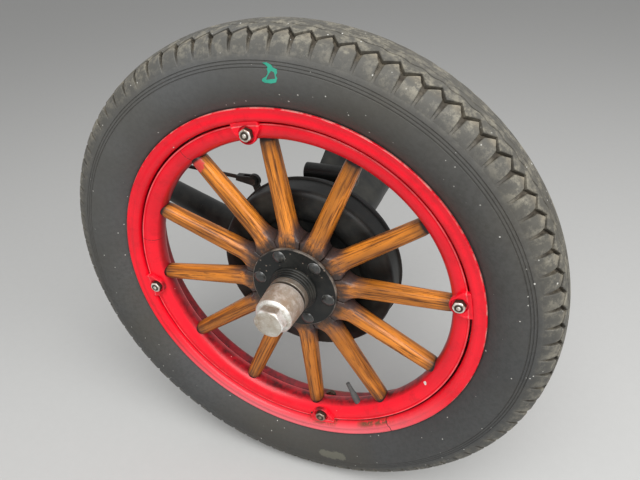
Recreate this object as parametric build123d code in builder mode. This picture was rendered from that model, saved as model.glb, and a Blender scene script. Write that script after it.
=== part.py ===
from build123d import *
import math
import os

# Wooden-spoked road wheel on the end of its axle, +Y into the vehicle, +Z up.
# The origin is on the wheel's axis, at the inboard end of the axle tube.

# Stations along the axis are measured from the rim's front edge, positive inboard.
housing_reach = 460.0
rim_y = -housing_reach

# Clearances: of seated pieces, of a running fit and between what turns and what stands
seat_gap = 0.1
fit_gap = 0.05
running_gap = 0.05
turn_gap = 5.2

# How far a cut runs past the faces that it opens
cut_past = 1.0

# The turn at which the wheel stands, and places round it, in degrees from +X towards +Z
wheel_turn = 5.3
spoke_count = 12
spoke_pitch = 360.0 / spoke_count
hub_bolt_count = 6
hub_bolt_turn = wheel_turn - spoke_pitch / 2
lug_count = 4
lug_turn = wheel_turn + 3.6
valve_turn = wheel_turn - 71.3

# Rim, whose bead seat drives all that it carries and all that carries it
rim_seat = 266.7
rim_flange = 18.3
rim_base = 2.2
rim_width = 82.0
rim_radius = rim_seat + rim_flange
rim_bore = rim_seat - rim_base
rim_lip = 1.6
rim_slope = 6.0
seat_corner = 2.0
rim_corner_run = 9.1
flange_gauge = 5.0
flange_lean = 0.4

# Tyre
tyre_height = 96.0
tyre_radius = rim_radius + tyre_height
tyre_mid = rim_width / 2
tyre_half_width = 58.5
tread_half_width = 33.0
crown_drop = 5.5
sidewall_share = 0.46
sidewall_radius = rim_radius + tyre_height * sidewall_share
wall_gauge = 8.0
lower_wall_inset = 4.6
upper_wall_inset = 2.2
shoulder_inset = 8.5
shoulder_drop = 17.5
corner_inset = 15.4
corner_drop = 9.6
tread_depth = 17.0
bead_width = 10.5
bead_lean = 1.5
bead_rise = 3.0

# Felloe
felloe_front = 9.0
felloe_width = 40.0
felloe_depth = 25.8
felloe_gap = 2.7
felloe_back = felloe_front + felloe_width
felloe_radius = rim_bore - felloe_gap
felloe_bore = felloe_radius - felloe_depth
felloe_gauge = 3.2
felloe_corner = 19.5
felloe_lip_setback = 1.0

# Spokes
spoke_hub_mid = 41.5
spoke_rim_mid = 30.0
spoke_root_depth = 35.0
spoke_hub_width = 29.0
spoke_hub_depth = 31.0
spoke_rim_width = 23.5
spoke_rim_depth = 26.0
mitre_radius = 78.0
mitre_start = 27.0
flare_end = 102.0
mitre_gap = 0.2
root_rounding = 10.0
root_ease = 2.0
shaft_ease = 0.5
spoke_overrun = 6.0
tenon_radius = 8.0
tenon_root = 4.0
tenon_length = 9.0

# Hub
barrel_radius = 37.0
flange_radius = 69.0
plate_gauge = 4.5
plate_edge = 1.2
hub_flange_gauge = 6.0
hub_bolt_ring_radius = 56.0
hub_bolt_radius = 4.8
hub_bolt_head_radius = 9.0
hub_bolt_head_height = 4.2
bolt_overrun = 3.0
hub_nut_flats = 16.0
hub_nut_height = 7.0
shaft_radius = 15.0
boss_radius = 30.0
boss_length = 16.0
nose_radius = 26.0
nose_end = -20.0
neck_radius = 29.5
shaft_thread_radius = 11.0
shaft_thread_length = 12.0

# Hub cap and its threaded collar
collar_radius = 37.3
collar_end = 4.0
collar_step = 1.6
collar_ribs = 4
cap_root_radius = 31.5
cap_end_radius = 28.5
cap_end = -54.0
cap_wall = 2.5
cap_chamfer = 3.0
hex_flats = 42.0
hex_turn = -2.0
hex_end = -69.0
hex_chamfer = 1.0

# Brake drum
drum_radius = 143.4
drum_front = 59.0
drum_back = 105.0
drum_gauge = 3.5
drum_step_radius = 99.0
drum_step_run = 5.0
drum_corner = 5.0
drum_lip = 3.0

# Backing plate
plate_front = drum_back + turn_gap
backing_gauge = 3.0
backing_inset = 2.4
backing_radius = drum_radius - backing_inset
backing_turned_edge = 6.0
plate_bolt_ring_radius = 54.0
plate_bolt_count = 4
plate_bolt_radius = 4.5
plate_bolt_turn = 45.0
plate_bolt_flats = 14.0
plate_bolt_head = 4.5
plate_nut_height = 7.0

# Axle housing
housing_front = plate_front + backing_gauge
tube_radius = 42.0
tube_bore = 34.0
tube_seat_radius = 41.4
tube_seat_length = 90.0
cone_radius = 44.5
cone_length = 38.8
housing_flange_radius = 63.0
housing_flange_gauge = 8.0
bearing_length = 36.0
shaft_inset = 10.0

# Lugs, bolts and nuts that hold the rim on the felloe
lug_inset = 12.3
lug_ring_radius = felloe_radius - lug_inset
lug_bolt_radius = 4.7
lug_ear_radius = 14.0
lug_neck = 4.0
lug_spread = 5.0
lug_width = 41.0
lug_foot = 3.3
lug_reach = rim_seat + lug_foot
lug_front = 2.5
lug_wall = 2.5
lug_pocket_depth = 4.0
lug_seat = lug_front + lug_pocket_depth
lug_nut_flats = 16.0
lug_nut_height = 9.0
lug_bolt_end = -3.5
lug_head_height = 6.0

# Valve
valve_station = 26.0
valve_radius = 5.5
valve_length = 43.0
valve_neck = 3.6
valve_step = 0.4
valve_neck_end = 15.0
valve_body_start = 26.0
valve_gap = 0.6

# Spring perch, shackle and spring
perch_station = 182.0
perch_rise = 76.0
perch_height = tube_radius + perch_rise
perch_boss_radius = 15.0
perch_half_length = 30.0
perch_foot_width = 52.0
perch_foot_length = 44.0
perch_neck = 34.0
perch_neck_length = 28.0
perch_rounding = 8.0
perch_saddle = 20.0
pin_radius = 8.0
pin_overrun = 2.0
shackle_gauge = 8.0
shackle_end_radius = 15.0
shackle_run = 34.0
shackle_drop = 18.0
eye_station = perch_station + shackle_run
eye_height = perch_height - shackle_drop
eye_radius = 14.0
eye_bush_radius = 11.0
leaf_gauge = 7.0
leaf_half_width = 29.5
leaf_count = 4
leaf_step = 34.0
leaf_inset = 8.0
leaf_angle = 27.0
leaf_arc_radius = 1300.0

# Brake lever, clevis and rod
cam_inset = 31.7
cam_turn = 145.4
cam_x = (backing_radius - cam_inset) * math.cos(math.radians(cam_turn))
cam_z = (backing_radius - cam_inset) * math.sin(math.radians(cam_turn))
cam_radius = 9.0
cam_boss_wall = 4.5
cam_front = 6.0
cam_overrun = 8.0
lever_standoff = 8.8
lever_gauge = 6.0
lever_width = 11.0
lever_root_radius = 16.0
lever_tip_radius = 10.5
lever_run = -16.0
lever_rise = 56.5
lever_tip_x = cam_x + lever_run
lever_tip_z = cam_z + lever_rise
clevis_pin_radius = 3.5
clevis_pin_head = 2.0
clevis_pin_overrun = 3.0
clevis_length = 31.0
clevis_slot = 19.0
clevis_height = 15.0
clevis_neck = 8.0
clevis_cheek = 3.0
clevis_slope = -4.6
rod_radius = 3.2
rod_length = 205.0

# Radius rod
ear_reach = 32.0
ear_drop = 12.0
eye_x = -(tube_radius + ear_reach)
eye_z = -ear_drop
ear_radius = 17.0
ear_gauge = 10.0
radius_eye_gauge = 12.0
radius_bolt_radius = 7.0
radius_bolt_head_radius = 11.0
radius_bolt_head = 6.0
radius_nut_height = 9.0
radius_neck_reach = 24.0
radius_neck_length = 30.0
radius_rod_root = 25.0
radius_rod_tip = 21.0
radius_rod_reach = 330.0
radius_rod_station = 192.0
radius_rod_height = 41.0

spoke_front = spoke_hub_mid - spoke_root_depth / 2
spoke_back = spoke_hub_mid + spoke_root_depth / 2
plate_face = spoke_front - plate_gauge
hub_flange_back = spoke_back + hub_flange_gauge
boss_end = hub_flange_back + drum_gauge + boss_length
flange_back = housing_front + housing_flange_gauge
axis_side = Plane(origin=(0, rim_y, 0), x_dir=(0, 1, 0), z_dir=(1, 0, 0))


def across(station):
    """Plane square to the axis at a station, drawn in X and Z and facing outboard."""
    return Plane(origin=(0, rim_y + station, 0), x_dir=(1, 0, 0), z_dir=(0, -1, 0))


def out_of_axis(turn, station):
    """Plane through the axis that faces outward at a turn, its X along the axis."""
    a = math.radians(turn)
    out = (math.cos(a), 0, math.sin(a))
    return Plane(origin=(0, rim_y + station, 0), x_dir=(0, 1, 0), z_dir=out)


def finish(piece, name):
    """Labels a finished piece and writes its file."""
    piece.label = name
    export_step(piece, f"parts/{name}.step")


os.makedirs("parts", exist_ok=True)

# Tyre: a hollow section of revolution, seated on the rim between its flanges
with BuildPart() as tyre:
    with BuildSketch(axis_side):
        with BuildLine():
            outside = (tyre_mid - tyre_half_width, sidewall_radius)
            shoulder = (outside[0] + shoulder_inset, tyre_radius - shoulder_drop)
            tread_edge = (tyre_mid - tread_half_width, tyre_radius - crown_drop)
            heel = (flange_gauge - seat_gap, rim_radius + seat_gap)
            seat = (flange_gauge + seat_corner + seat_gap, rim_seat + seat_gap)
            bead_corner = (flange_gauge + seat_gap, seat[1] + seat_corner)
            toe = (seat[0] + bead_width, seat[1])
            inner_wall = (toe[0] - bead_lean, rim_radius + bead_rise)
            lower_radius = (rim_radius + sidewall_radius) / 2
            upper_radius = (sidewall_radius + shoulder[1]) / 2
            ThreePointArc(heel, (outside[0] + lower_wall_inset, lower_radius), outside)
            ThreePointArc(outside, (outside[0] + upper_wall_inset, upper_radius), shoulder)
            ThreePointArc(shoulder, (outside[0] + corner_inset, tyre_radius - corner_drop), tread_edge)
            Polyline(heel, bead_corner, seat, toe, inner_wall)
            inner_side = (outside[0] + wall_gauge, sidewall_radius)
            Line(inner_wall, inner_side)
            crown = (tyre_mid, tyre_radius)
            roof = (tyre_mid, tyre_radius - tread_depth)
            mirror(about=Plane.YZ.offset(tyre_mid))
            ThreePointArc(tread_edge, crown, (2 * tyre_mid - tread_edge[0], tread_edge[1]))
            ThreePointArc(inner_side, roof, (2 * tyre_mid - inner_side[0], inner_side[1]))
        make_face()
    revolve(axis=Axis.Y)
finish(tyre.part, "tyre")

# Demountable rim: flanges with rolled edges, rounded down to a straight base that is holed for the valve
with BuildPart() as rim:
    with BuildSketch(axis_side):
        with BuildLine():
            corner_start = (flange_lean, rim_seat + rim_slope)
            corner_end = (flange_lean + rim_corner_run, rim_bore)
            Polyline(
                (rim_width / 2, rim_seat),
                (flange_gauge + seat_corner, rim_seat),
                (flange_gauge, rim_seat + seat_corner),
                (2 * rim_lip, rim_radius - rim_lip),
                (rim_lip, rim_radius),
                (0, rim_radius - rim_lip),
                corner_start,
            )
            TangentArc(corner_start, corner_end, tangent=(0, -1))
            Line(corner_end, (rim_width / 2, rim_bore))
            mirror(about=Plane.YZ.offset(rim_width / 2))
        make_face()
    revolve(axis=Axis.Y)
    with BuildSketch(out_of_axis(valve_turn, valve_station)):
        Circle(valve_radius + valve_gap)
    extrude(amount=rim_radius, mode=Mode.SUBTRACT)
finish(rim.part, "rim")

# Felloe: a pressed channel with a round back, open towards the rim, holed for tenons, valve and lug bolts
felloe_mid = felloe_front + felloe_width / 2
with BuildPart() as felloe:
    with BuildSketch(axis_side):
        with BuildLine():
            for gauge in (0, felloe_gauge):
                nose = (felloe_front + gauge, felloe_bore + felloe_corner)
                lip = (felloe_front + felloe_lip_setback + gauge, felloe_radius)
                keel = (felloe_front + felloe_corner, felloe_bore + gauge)
                TangentArc(nose, lip, tangent=(0, 1))
                TangentArc(nose, keel, tangent=(0, -1))
                Line(keel, (felloe_mid, keel[1]))
            Line((lip[0] - felloe_gauge, felloe_radius), lip)
            mirror(about=Plane.YZ.offset(felloe_mid))
        make_face()
    revolve(axis=Axis.Y)
    for k in range(spoke_count):
        with BuildSketch(out_of_axis(wheel_turn + k * spoke_pitch, spoke_rim_mid)):
            Circle(tenon_radius + fit_gap)
        extrude(amount=felloe_bore + felloe_corner, mode=Mode.SUBTRACT)
    with BuildSketch(out_of_axis(valve_turn, valve_station)):
        Circle(valve_radius + fit_gap)
    extrude(amount=felloe_bore + felloe_corner, mode=Mode.SUBTRACT)
    with BuildSketch(across(felloe_front - cut_past)):
        with PolarLocations(lug_ring_radius, lug_count, lug_turn):
            Circle(lug_bolt_radius + fit_gap)
    extrude(amount=-(felloe_width + 2 * cut_past), mode=Mode.SUBTRACT)
finish(felloe.part, "felloe")

# One spoke along +X: a mitred root, a flare and an oval shaft that tapers and leans outboard
lean_rate = (spoke_rim_mid - spoke_hub_mid) / (felloe_bore - mitre_radius)
flare_mid = spoke_hub_mid + (flare_end - mitre_radius) * lean_rate
mitre_half = mitre_radius * math.tan(math.radians(spoke_pitch / 2)) - mitre_gap
with BuildPart() as spoke:
    with BuildSketch(across(spoke_front)):
        root_half = mitre_half * mitre_start / mitre_radius
        with BuildLine():
            Polyline(
                (mitre_start, -root_half),
                (mitre_radius, -mitre_half),
                (mitre_radius, mitre_half),
                (mitre_start, root_half),
                close=True,
            )
        make_face()
    extrude(amount=-spoke_root_depth)
    with BuildSketch(out_of_axis(0, spoke_hub_mid).offset(mitre_radius)):
        RectangleRounded(spoke_root_depth - root_ease, 2 * mitre_half - root_ease, root_rounding)
    with BuildSketch(out_of_axis(0, flare_mid).offset(flare_end)):
        RectangleRounded(spoke_hub_depth, spoke_hub_width, spoke_hub_width / 2 - shaft_ease)
    loft()
    with BuildSketch(out_of_axis(0, flare_mid).offset(flare_end)):
        Ellipse(spoke_hub_depth / 2, spoke_hub_width / 2)
    with BuildSketch(out_of_axis(0, spoke_rim_mid).offset(felloe_bore + spoke_overrun)):
        Ellipse(spoke_rim_depth / 2, spoke_rim_width / 2)
    loft()

# All spokes, each with its tenon, trimmed to felloe, hub barrel and the bolts that pass their mitres
with BuildPart() as spokes:
    for k in range(spoke_count):
        add(spoke.part.rotate(Axis.Y, -(wheel_turn + k * spoke_pitch)))
    with BuildSketch(axis_side):
        with BuildLine():
            nose = (felloe_front - seat_gap, felloe_bore + felloe_corner)
            keel = (felloe_front + felloe_corner, felloe_bore - seat_gap)
            TangentArc(nose, keel, tangent=(0, -1))
            Line(keel, (felloe_mid, keel[1]))
            Polyline(nose, (nose[0], felloe_radius), (felloe_mid, felloe_radius))
            mirror(about=Plane.YZ.offset(felloe_mid))
        make_face()
    revolve(axis=Axis.Y, mode=Mode.SUBTRACT)
    with BuildSketch(across(0)):
        Circle(barrel_radius + seat_gap)
    extrude(amount=-housing_reach, mode=Mode.SUBTRACT)
    with BuildSketch(across(0)):
        with PolarLocations(hub_bolt_ring_radius, hub_bolt_count, hub_bolt_turn):
            Circle(hub_bolt_radius + seat_gap)
    extrude(amount=-housing_reach, mode=Mode.SUBTRACT)
    for k in range(spoke_count):
        tenon_plane = out_of_axis(wheel_turn + k * spoke_pitch, spoke_rim_mid)
        with BuildSketch(tenon_plane.offset(felloe_bore - tenon_root)):
            Circle(tenon_radius)
        extrude(amount=tenon_length)
finish(spokes.part, "spokes")

# Hub: barrel through the spokes, inner flange, rear boss and a nose inside the cap
with BuildPart() as hub_shell:
    with BuildSketch(axis_side):
        with BuildLine():
            Polyline(
                (nose_end, shaft_radius + seat_gap),
                (nose_end, nose_radius),
                (collar_end, nose_radius),
                (collar_end, neck_radius),
                (plate_face, neck_radius),
                (plate_face, barrel_radius),
                (spoke_back, barrel_radius),
                (spoke_back, flange_radius),
                (hub_flange_back, flange_radius),
                (hub_flange_back, boss_radius),
                (boss_end, boss_radius),
                (boss_end, shaft_radius + seat_gap),
                close=True,
            )
        make_face()
    revolve(axis=Axis.Y)
    with BuildSketch(across(spoke_back - cut_past)):
        with PolarLocations(hub_bolt_ring_radius, hub_bolt_count, hub_bolt_turn):
            Circle(hub_bolt_radius + fit_gap)
    extrude(amount=-(hub_flange_gauge + 2 * cut_past), mode=Mode.SUBTRACT)
finish(hub_shell.part, "hub_shell")

# Outer flange plate with a thin turned edge
with BuildPart() as hub_plate:
    with BuildSketch(across(plate_face)):
        Circle(flange_radius)
        Circle(barrel_radius + seat_gap, mode=Mode.SUBTRACT)
        with PolarLocations(hub_bolt_ring_radius, hub_bolt_count, hub_bolt_turn):
            Circle(hub_bolt_radius + fit_gap, mode=Mode.SUBTRACT)
    extrude(amount=-plate_gauge)
    chamfer(faces().filter_by(Axis.Y).sort_by(Axis.Y)[0].outer_wire().edges(), length=plate_edge)
finish(hub_plate.part, "hub_plate")

# Carriage bolts through plate, spokes, hub flange and drum, and their nuts
bolt_tail = hub_flange_back + drum_gauge + hub_nut_height + bolt_overrun
with BuildPart() as bolt_head:
    with BuildSketch(Plane(origin=(0, rim_y + plate_face, 0), x_dir=(0, 1, 0), z_dir=(1, 0, 0))):
        with BuildLine():
            crown = (-hub_bolt_head_height, 0)
            Line((0, 0), crown)
            TangentArc(crown, (0, hub_bolt_head_radius), tangent=(0, 1))
            Line((0, hub_bolt_head_radius), (0, 0))
        make_face()
    revolve(axis=Axis.Y)
with BuildPart() as hub_bolts:
    for place in PolarLocations(hub_bolt_ring_radius, hub_bolt_count, hub_bolt_turn).local_locations:
        x, z = place.position.X, place.position.Y
        add(bolt_head.part.moved(Location((x, 0, z))))
        with BuildSketch(across(plate_face)):
            with Locations((x, z)):
                Circle(hub_bolt_radius)
        extrude(amount=-(bolt_tail - plate_face))
finish(hub_bolts.part, "hub_bolts")

with BuildPart() as hub_nuts:
    with BuildSketch(across(hub_flange_back + drum_gauge)):
        with PolarLocations(hub_bolt_ring_radius, hub_bolt_count, hub_bolt_turn):
            RegularPolygon(hub_nut_flats / 2, 6, major_radius=False)
            Circle(hub_bolt_radius + fit_gap, mode=Mode.SUBTRACT)
    extrude(amount=-hub_nut_height)
finish(hub_nuts.part, "hub_nuts")

# Collar in front of the plate, stepped in a rib at a time
with BuildPart() as hub_collar:
    rib = (plate_face - collar_end) / collar_ribs
    for number in range(collar_ribs):
        with BuildSketch(across(plate_face - number * rib)):
            Circle(collar_radius - number * collar_step)
            Circle(neck_radius + seat_gap, mode=Mode.SUBTRACT)
        extrude(amount=rib)
finish(hub_collar.part, "hub_collar")

# Hub cap: a hollow barrel that narrows to a hexagon
with BuildPart() as hub_cap:
    with BuildSketch(axis_side):
        with BuildLine():
            Polyline(
                (cap_end, 0),
                (cap_end, cap_end_radius - cap_chamfer),
                (cap_end + cap_chamfer, cap_end_radius),
                (collar_end, cap_root_radius),
                (collar_end, cap_root_radius - cap_wall),
                (cap_end + cap_chamfer + cap_wall, cap_end_radius - cap_wall),
                (cap_end + cap_chamfer + cap_wall, 0),
                close=True,
            )
        make_face()
    revolve(axis=Axis.Y)
    with BuildSketch(across(cap_end + cap_chamfer)):
        RegularPolygon(hex_flats / 2, 6, major_radius=False, rotation=hex_turn)
    extrude(amount=cap_end + cap_chamfer - hex_end)
    chamfer(faces().sort_by(Axis.Y)[0].edges(), length=hex_chamfer)
finish(hub_cap.part, "hub_cap")

# Brake drum: a stepped web bolted to the hub flange, a band and a turned back edge
with BuildPart() as brake_drum:
    with BuildSketch(axis_side):
        with BuildLine():
            web = hub_flange_back + drum_gauge
            band = drum_radius - drum_gauge
            corner_start = (drum_front, drum_radius - drum_corner)
            corner_end = (drum_front + drum_corner, drum_radius)
            TangentArc(corner_start, corner_end, tangent=(0, 1))
            Polyline(
                corner_end,
                (drum_back - drum_lip, drum_radius),
                (drum_back - drum_lip, drum_radius + drum_lip),
                (drum_back, drum_radius + drum_lip),
                (drum_back, band),
                (drum_front + drum_corner, band),
                (drum_front + drum_gauge, band - drum_corner / 2),
                (drum_front + drum_gauge, drum_step_radius + drum_step_run + drum_gauge / 2),
                (web, drum_step_radius - drum_step_run + drum_gauge / 2),
                (web, boss_radius + seat_gap),
                (hub_flange_back, boss_radius + seat_gap),
                (hub_flange_back, drum_step_radius - drum_step_run),
                (drum_front, drum_step_radius + drum_step_run),
                corner_start,
            )
        make_face()
    revolve(axis=Axis.Y)
    with BuildSketch(across(hub_flange_back - cut_past)):
        with PolarLocations(hub_bolt_ring_radius, hub_bolt_count, hub_bolt_turn):
            Circle(hub_bolt_radius + fit_gap)
    extrude(amount=-(drum_gauge + 2 * cut_past), mode=Mode.SUBTRACT)
finish(brake_drum.part, "brake_drum")

# Axle shaft with its threaded end in the hub's nose, which turns in the housing
with BuildPart() as axle_shaft:
    with BuildSketch(axis_side):
        with BuildLine():
            Polyline(
                (nose_end - shaft_thread_length, 0),
                (nose_end - shaft_thread_length, shaft_thread_radius),
                (nose_end, shaft_thread_radius),
                (nose_end, shaft_radius),
                (housing_reach - shaft_inset, shaft_radius),
                (housing_reach - shaft_inset, 0),
                close=True,
            )
        make_face()
    revolve(axis=Axis.Y)
finish(axle_shaft.part, "axle_shaft")

# Clamp plates that bridge from felloe to rim, with rounded ears towards the hub and a pocket for the nut
with BuildPart() as lug:
    with BuildSketch(across(lug_front)):
        with Locations((lug_ring_radius, 0)):
            Circle(lug_ear_radius)
        with BuildLine():
            Polyline(
                (lug_ring_radius - lug_neck, -lug_ear_radius),
                (lug_ring_radius + lug_spread, -lug_width / 2),
                (rim_radius, -lug_width / 2),
                (rim_radius, lug_width / 2),
                (lug_ring_radius + lug_spread, lug_width / 2),
                (lug_ring_radius - lug_neck, lug_ear_radius),
                close=True,
            )
        make_face()
        Circle(lug_reach, mode=Mode.INTERSECT)
        with Locations((lug_ring_radius, 0)):
            Circle(lug_bolt_radius + fit_gap, mode=Mode.SUBTRACT)
    extrude(amount=-(felloe_front - lug_front))
    with BuildSketch(across(lug_front)):
        with Locations((lug_ring_radius, 0)):
            Circle(lug_ear_radius - lug_wall)
    extrude(amount=-lug_pocket_depth, mode=Mode.SUBTRACT)
    with BuildSketch(axis_side):
        with BuildLine():
            corner_start = (flange_lean - seat_gap, rim_seat + rim_slope)
            corner_end = (flange_lean + rim_corner_run, rim_bore - seat_gap)
            TangentArc(corner_start, corner_end, tangent=(0, -1))
            Polyline(corner_end, (corner_end[0], rim_radius), (corner_start[0], rim_radius), corner_start)
        make_face()
    revolve(axis=Axis.Y, mode=Mode.SUBTRACT)

with BuildPart() as rim_lugs:
    for k in range(lug_count):
        add(lug.part.rotate(Axis.Y, -(lug_turn + k * 360.0 / lug_count)))
finish(rim_lugs.part, "rim_lugs")

with BuildPart() as lug_bolts:
    with BuildSketch(across(lug_bolt_end)):
        with PolarLocations(lug_ring_radius, lug_count, lug_turn):
            Circle(lug_bolt_radius)
    extrude(amount=-(felloe_back - lug_bolt_end))
    with BuildSketch(across(felloe_back)):
        with PolarLocations(lug_ring_radius, lug_count, lug_turn):
            RegularPolygon(lug_nut_flats / 2, 6, major_radius=False)
    extrude(amount=-lug_head_height)
finish(lug_bolts.part, "lug_bolts")

with BuildPart() as lug_nuts:
    with BuildSketch(across(lug_seat)):
        with PolarLocations(lug_ring_radius, lug_count, lug_turn):
            RegularPolygon(lug_nut_flats / 2, 6, major_radius=False)
            Circle(lug_bolt_radius + fit_gap, mode=Mode.SUBTRACT)
    extrude(amount=lug_nut_height)
finish(lug_nuts.part, "lug_nuts")

# Valve: a stem through rim and felloe that narrows to its capped neck
with BuildPart() as valve_stem:
    tip = felloe_bore - valve_length
    with BuildSketch(out_of_axis(valve_turn, valve_station).offset(tip)):
        Circle(valve_neck)
    extrude(amount=valve_neck_end)
    with BuildSketch(out_of_axis(valve_turn, valve_station).offset(tip + valve_neck_end)):
        Circle(valve_neck + valve_step)
    with BuildSketch(out_of_axis(valve_turn, valve_station).offset(tip + valve_body_start)):
        Circle(valve_radius)
    loft()
    with BuildSketch(out_of_axis(valve_turn, valve_station).offset(tip + valve_body_start)):
        Circle(valve_radius)
    extrude(amount=rim_seat - tip - valve_body_start)
finish(valve_stem.part, "valve_stem")

# Backing plate: a disc with a turned edge behind the drum
with BuildPart() as backing_plate:
    with BuildSketch(axis_side):
        with BuildLine():
            Polyline(
                (plate_front, tube_bore + seat_gap),
                (plate_front, backing_radius),
                (plate_front + backing_turned_edge, backing_radius),
                (plate_front + backing_turned_edge, backing_radius - backing_gauge),
                (housing_front, backing_radius - backing_gauge),
                (housing_front, tube_bore + seat_gap),
                close=True,
            )
        make_face()
    revolve(axis=Axis.Y)
    with BuildSketch(across(plate_front - cut_past)):
        with PolarLocations(plate_bolt_ring_radius, plate_bolt_count, plate_bolt_turn):
            Circle(plate_bolt_radius + fit_gap)
        with Locations((cam_x, cam_z)):
            Circle(cam_radius + fit_gap)
    extrude(amount=-(backing_gauge + 2 * cut_past), mode=Mode.SUBTRACT)
finish(backing_plate.part, "backing_plate")

# Axle housing: flange, cone and tube with a turned seat at its end, and an ear for the radius rod
with BuildPart() as axle_housing:
    with BuildSketch(axis_side):
        with BuildLine():
            Polyline(
                (housing_front, tube_bore),
                (housing_front, housing_flange_radius),
                (flange_back, housing_flange_radius),
                (flange_back, cone_radius),
                (flange_back + cone_length, tube_radius),
                (housing_reach - tube_seat_length, tube_radius),
                (housing_reach - tube_seat_length, tube_seat_radius),
                (housing_reach, tube_seat_radius),
                (housing_reach, tube_bore),
                close=True,
            )
        make_face()
    revolve(axis=Axis.Y)
    with BuildSketch(across(housing_front - cut_past)):
        with PolarLocations(plate_bolt_ring_radius, plate_bolt_count, plate_bolt_turn):
            Circle(plate_bolt_radius + fit_gap)
    extrude(amount=-(housing_flange_gauge + 2 * cut_past), mode=Mode.SUBTRACT)
    with BuildSketch(across(flange_back)):
        with Locations((eye_x, eye_z)):
            Circle(ear_radius)
        with BuildLine():
            Polyline(
                (eye_x, eye_z - ear_radius),
                (-(tube_bore + tube_radius) / 2, eye_z - ear_radius),
                (-(tube_bore + tube_radius) / 2, eye_z + ear_radius),
                (eye_x, eye_z + ear_radius),
                close=True,
            )
        make_face()
        with Locations((eye_x, eye_z)):
            Circle(radius_bolt_radius + fit_gap, mode=Mode.SUBTRACT)
        Circle((tube_bore + tube_radius) / 2, mode=Mode.SUBTRACT)
    extrude(amount=-ear_gauge)
finish(axle_housing.part, "axle_housing")

with BuildPart() as outer_bearing:
    with BuildSketch(across(housing_front)):
        Circle(tube_bore)
        Circle(shaft_radius + running_gap, mode=Mode.SUBTRACT)
    extrude(amount=-bearing_length)
finish(outer_bearing.part, "outer_bearing")

# Bolts that hold the backing plate on the housing, heads in the drum, nuts behind the flange
with BuildPart() as plate_bolts:
    with BuildSketch(across(plate_front)):
        with PolarLocations(plate_bolt_ring_radius, plate_bolt_count, plate_bolt_turn):
            RegularPolygon(plate_bolt_flats / 2, 6, major_radius=False)
    extrude(amount=plate_bolt_head)
    with BuildSketch(across(plate_front)):
        with PolarLocations(plate_bolt_ring_radius, plate_bolt_count, plate_bolt_turn):
            Circle(plate_bolt_radius)
    extrude(amount=-(flange_back - plate_front + plate_nut_height + bolt_overrun))
finish(plate_bolts.part, "plate_bolts")

with BuildPart() as plate_nuts:
    with BuildSketch(across(flange_back)):
        with PolarLocations(plate_bolt_ring_radius, plate_bolt_count, plate_bolt_turn):
            RegularPolygon(plate_bolt_flats / 2, 6, major_radius=False)
            Circle(plate_bolt_radius + fit_gap, mode=Mode.SUBTRACT)
    extrude(amount=-plate_nut_height)
finish(plate_nuts.part, "plate_nuts")

# Spring perch: a forged post on the tube with a cross boss for the shackle pin
perch_y = rim_y + perch_station
boss_side = Plane(origin=(-perch_half_length, perch_y, perch_height), x_dir=(0, 1, 0), z_dir=(1, 0, 0))
with BuildPart() as spring_perch:
    with BuildSketch(Plane(origin=(0, perch_y, 0))):
        RectangleRounded(perch_foot_width, perch_foot_length, perch_rounding)
    with BuildSketch(Plane(origin=(0, perch_y, perch_height))):
        RectangleRounded(perch_neck, perch_neck_length, perch_rounding)
    loft()
    with BuildSketch(boss_side):
        Circle(perch_boss_radius)
    extrude(amount=2 * perch_half_length)
    with BuildSketch(across(0)):
        Circle(tube_radius + seat_gap)
    extrude(amount=-housing_reach, mode=Mode.SUBTRACT)
    with BuildSketch(Plane(origin=(0, perch_y, -tube_radius))):
        Rectangle(2 * perch_foot_width, 2 * perch_foot_length)
    extrude(amount=tube_radius + perch_saddle, mode=Mode.SUBTRACT)
    with BuildSketch(boss_side):
        Circle(pin_radius + fit_gap)
    extrude(amount=2 * perch_half_length, mode=Mode.SUBTRACT)
finish(spring_perch.part, "spring_perch")

# Shackle: two links from the perch pin to the spring eye's pin, and the pins
link = math.hypot(eye_station - perch_station, eye_height - perch_height)
link_turn = math.degrees(math.atan2(eye_height - perch_height, eye_station - perch_station))
link_face = perch_half_length + seat_gap
with BuildPart() as spring_shackle:
    for side in (-1, 1):
        link_start = (side * link_face, perch_y, perch_height)
        with BuildSketch(Plane(origin=link_start, x_dir=(0, 1, 0), z_dir=(side, 0, 0))):
            with Locations(Location((0, 0, 0), (0, 0, side * link_turn))):
                with Locations((link / 2, 0)):
                    SlotCenterToCenter(link, 2 * shackle_end_radius)
                with Locations((0, 0), (link, 0)):
                    Circle(pin_radius + fit_gap, mode=Mode.SUBTRACT)
        extrude(amount=shackle_gauge)
finish(spring_shackle.part, "spring_shackle")

pin_end = link_face + shackle_gauge + pin_overrun
with BuildPart() as shackle_pins:
    with BuildSketch(Plane(origin=(-pin_end, rim_y, 0), x_dir=(0, 1, 0), z_dir=(1, 0, 0))):
        with Locations((perch_station, perch_height), (eye_station, eye_height)):
            Circle(pin_radius)
    extrude(amount=2 * pin_end)
finish(shackle_pins.part, "shackle_pins")

# Spring: leaves on one arc, each shorter than the one below, the lowest with an eye and its bush
lean = math.radians(leaf_angle)
leaf_end = housing_reach - leaf_inset
arc_station = eye_station + leaf_arc_radius * math.sin(lean)
arc_height = eye_height - leaf_arc_radius * math.cos(lean)


def on_arc(station, radius):
    """Point over a station on a circle about the spring's centre."""
    return (station, arc_height + math.sqrt(radius**2 - (station - arc_station) ** 2))


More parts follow.
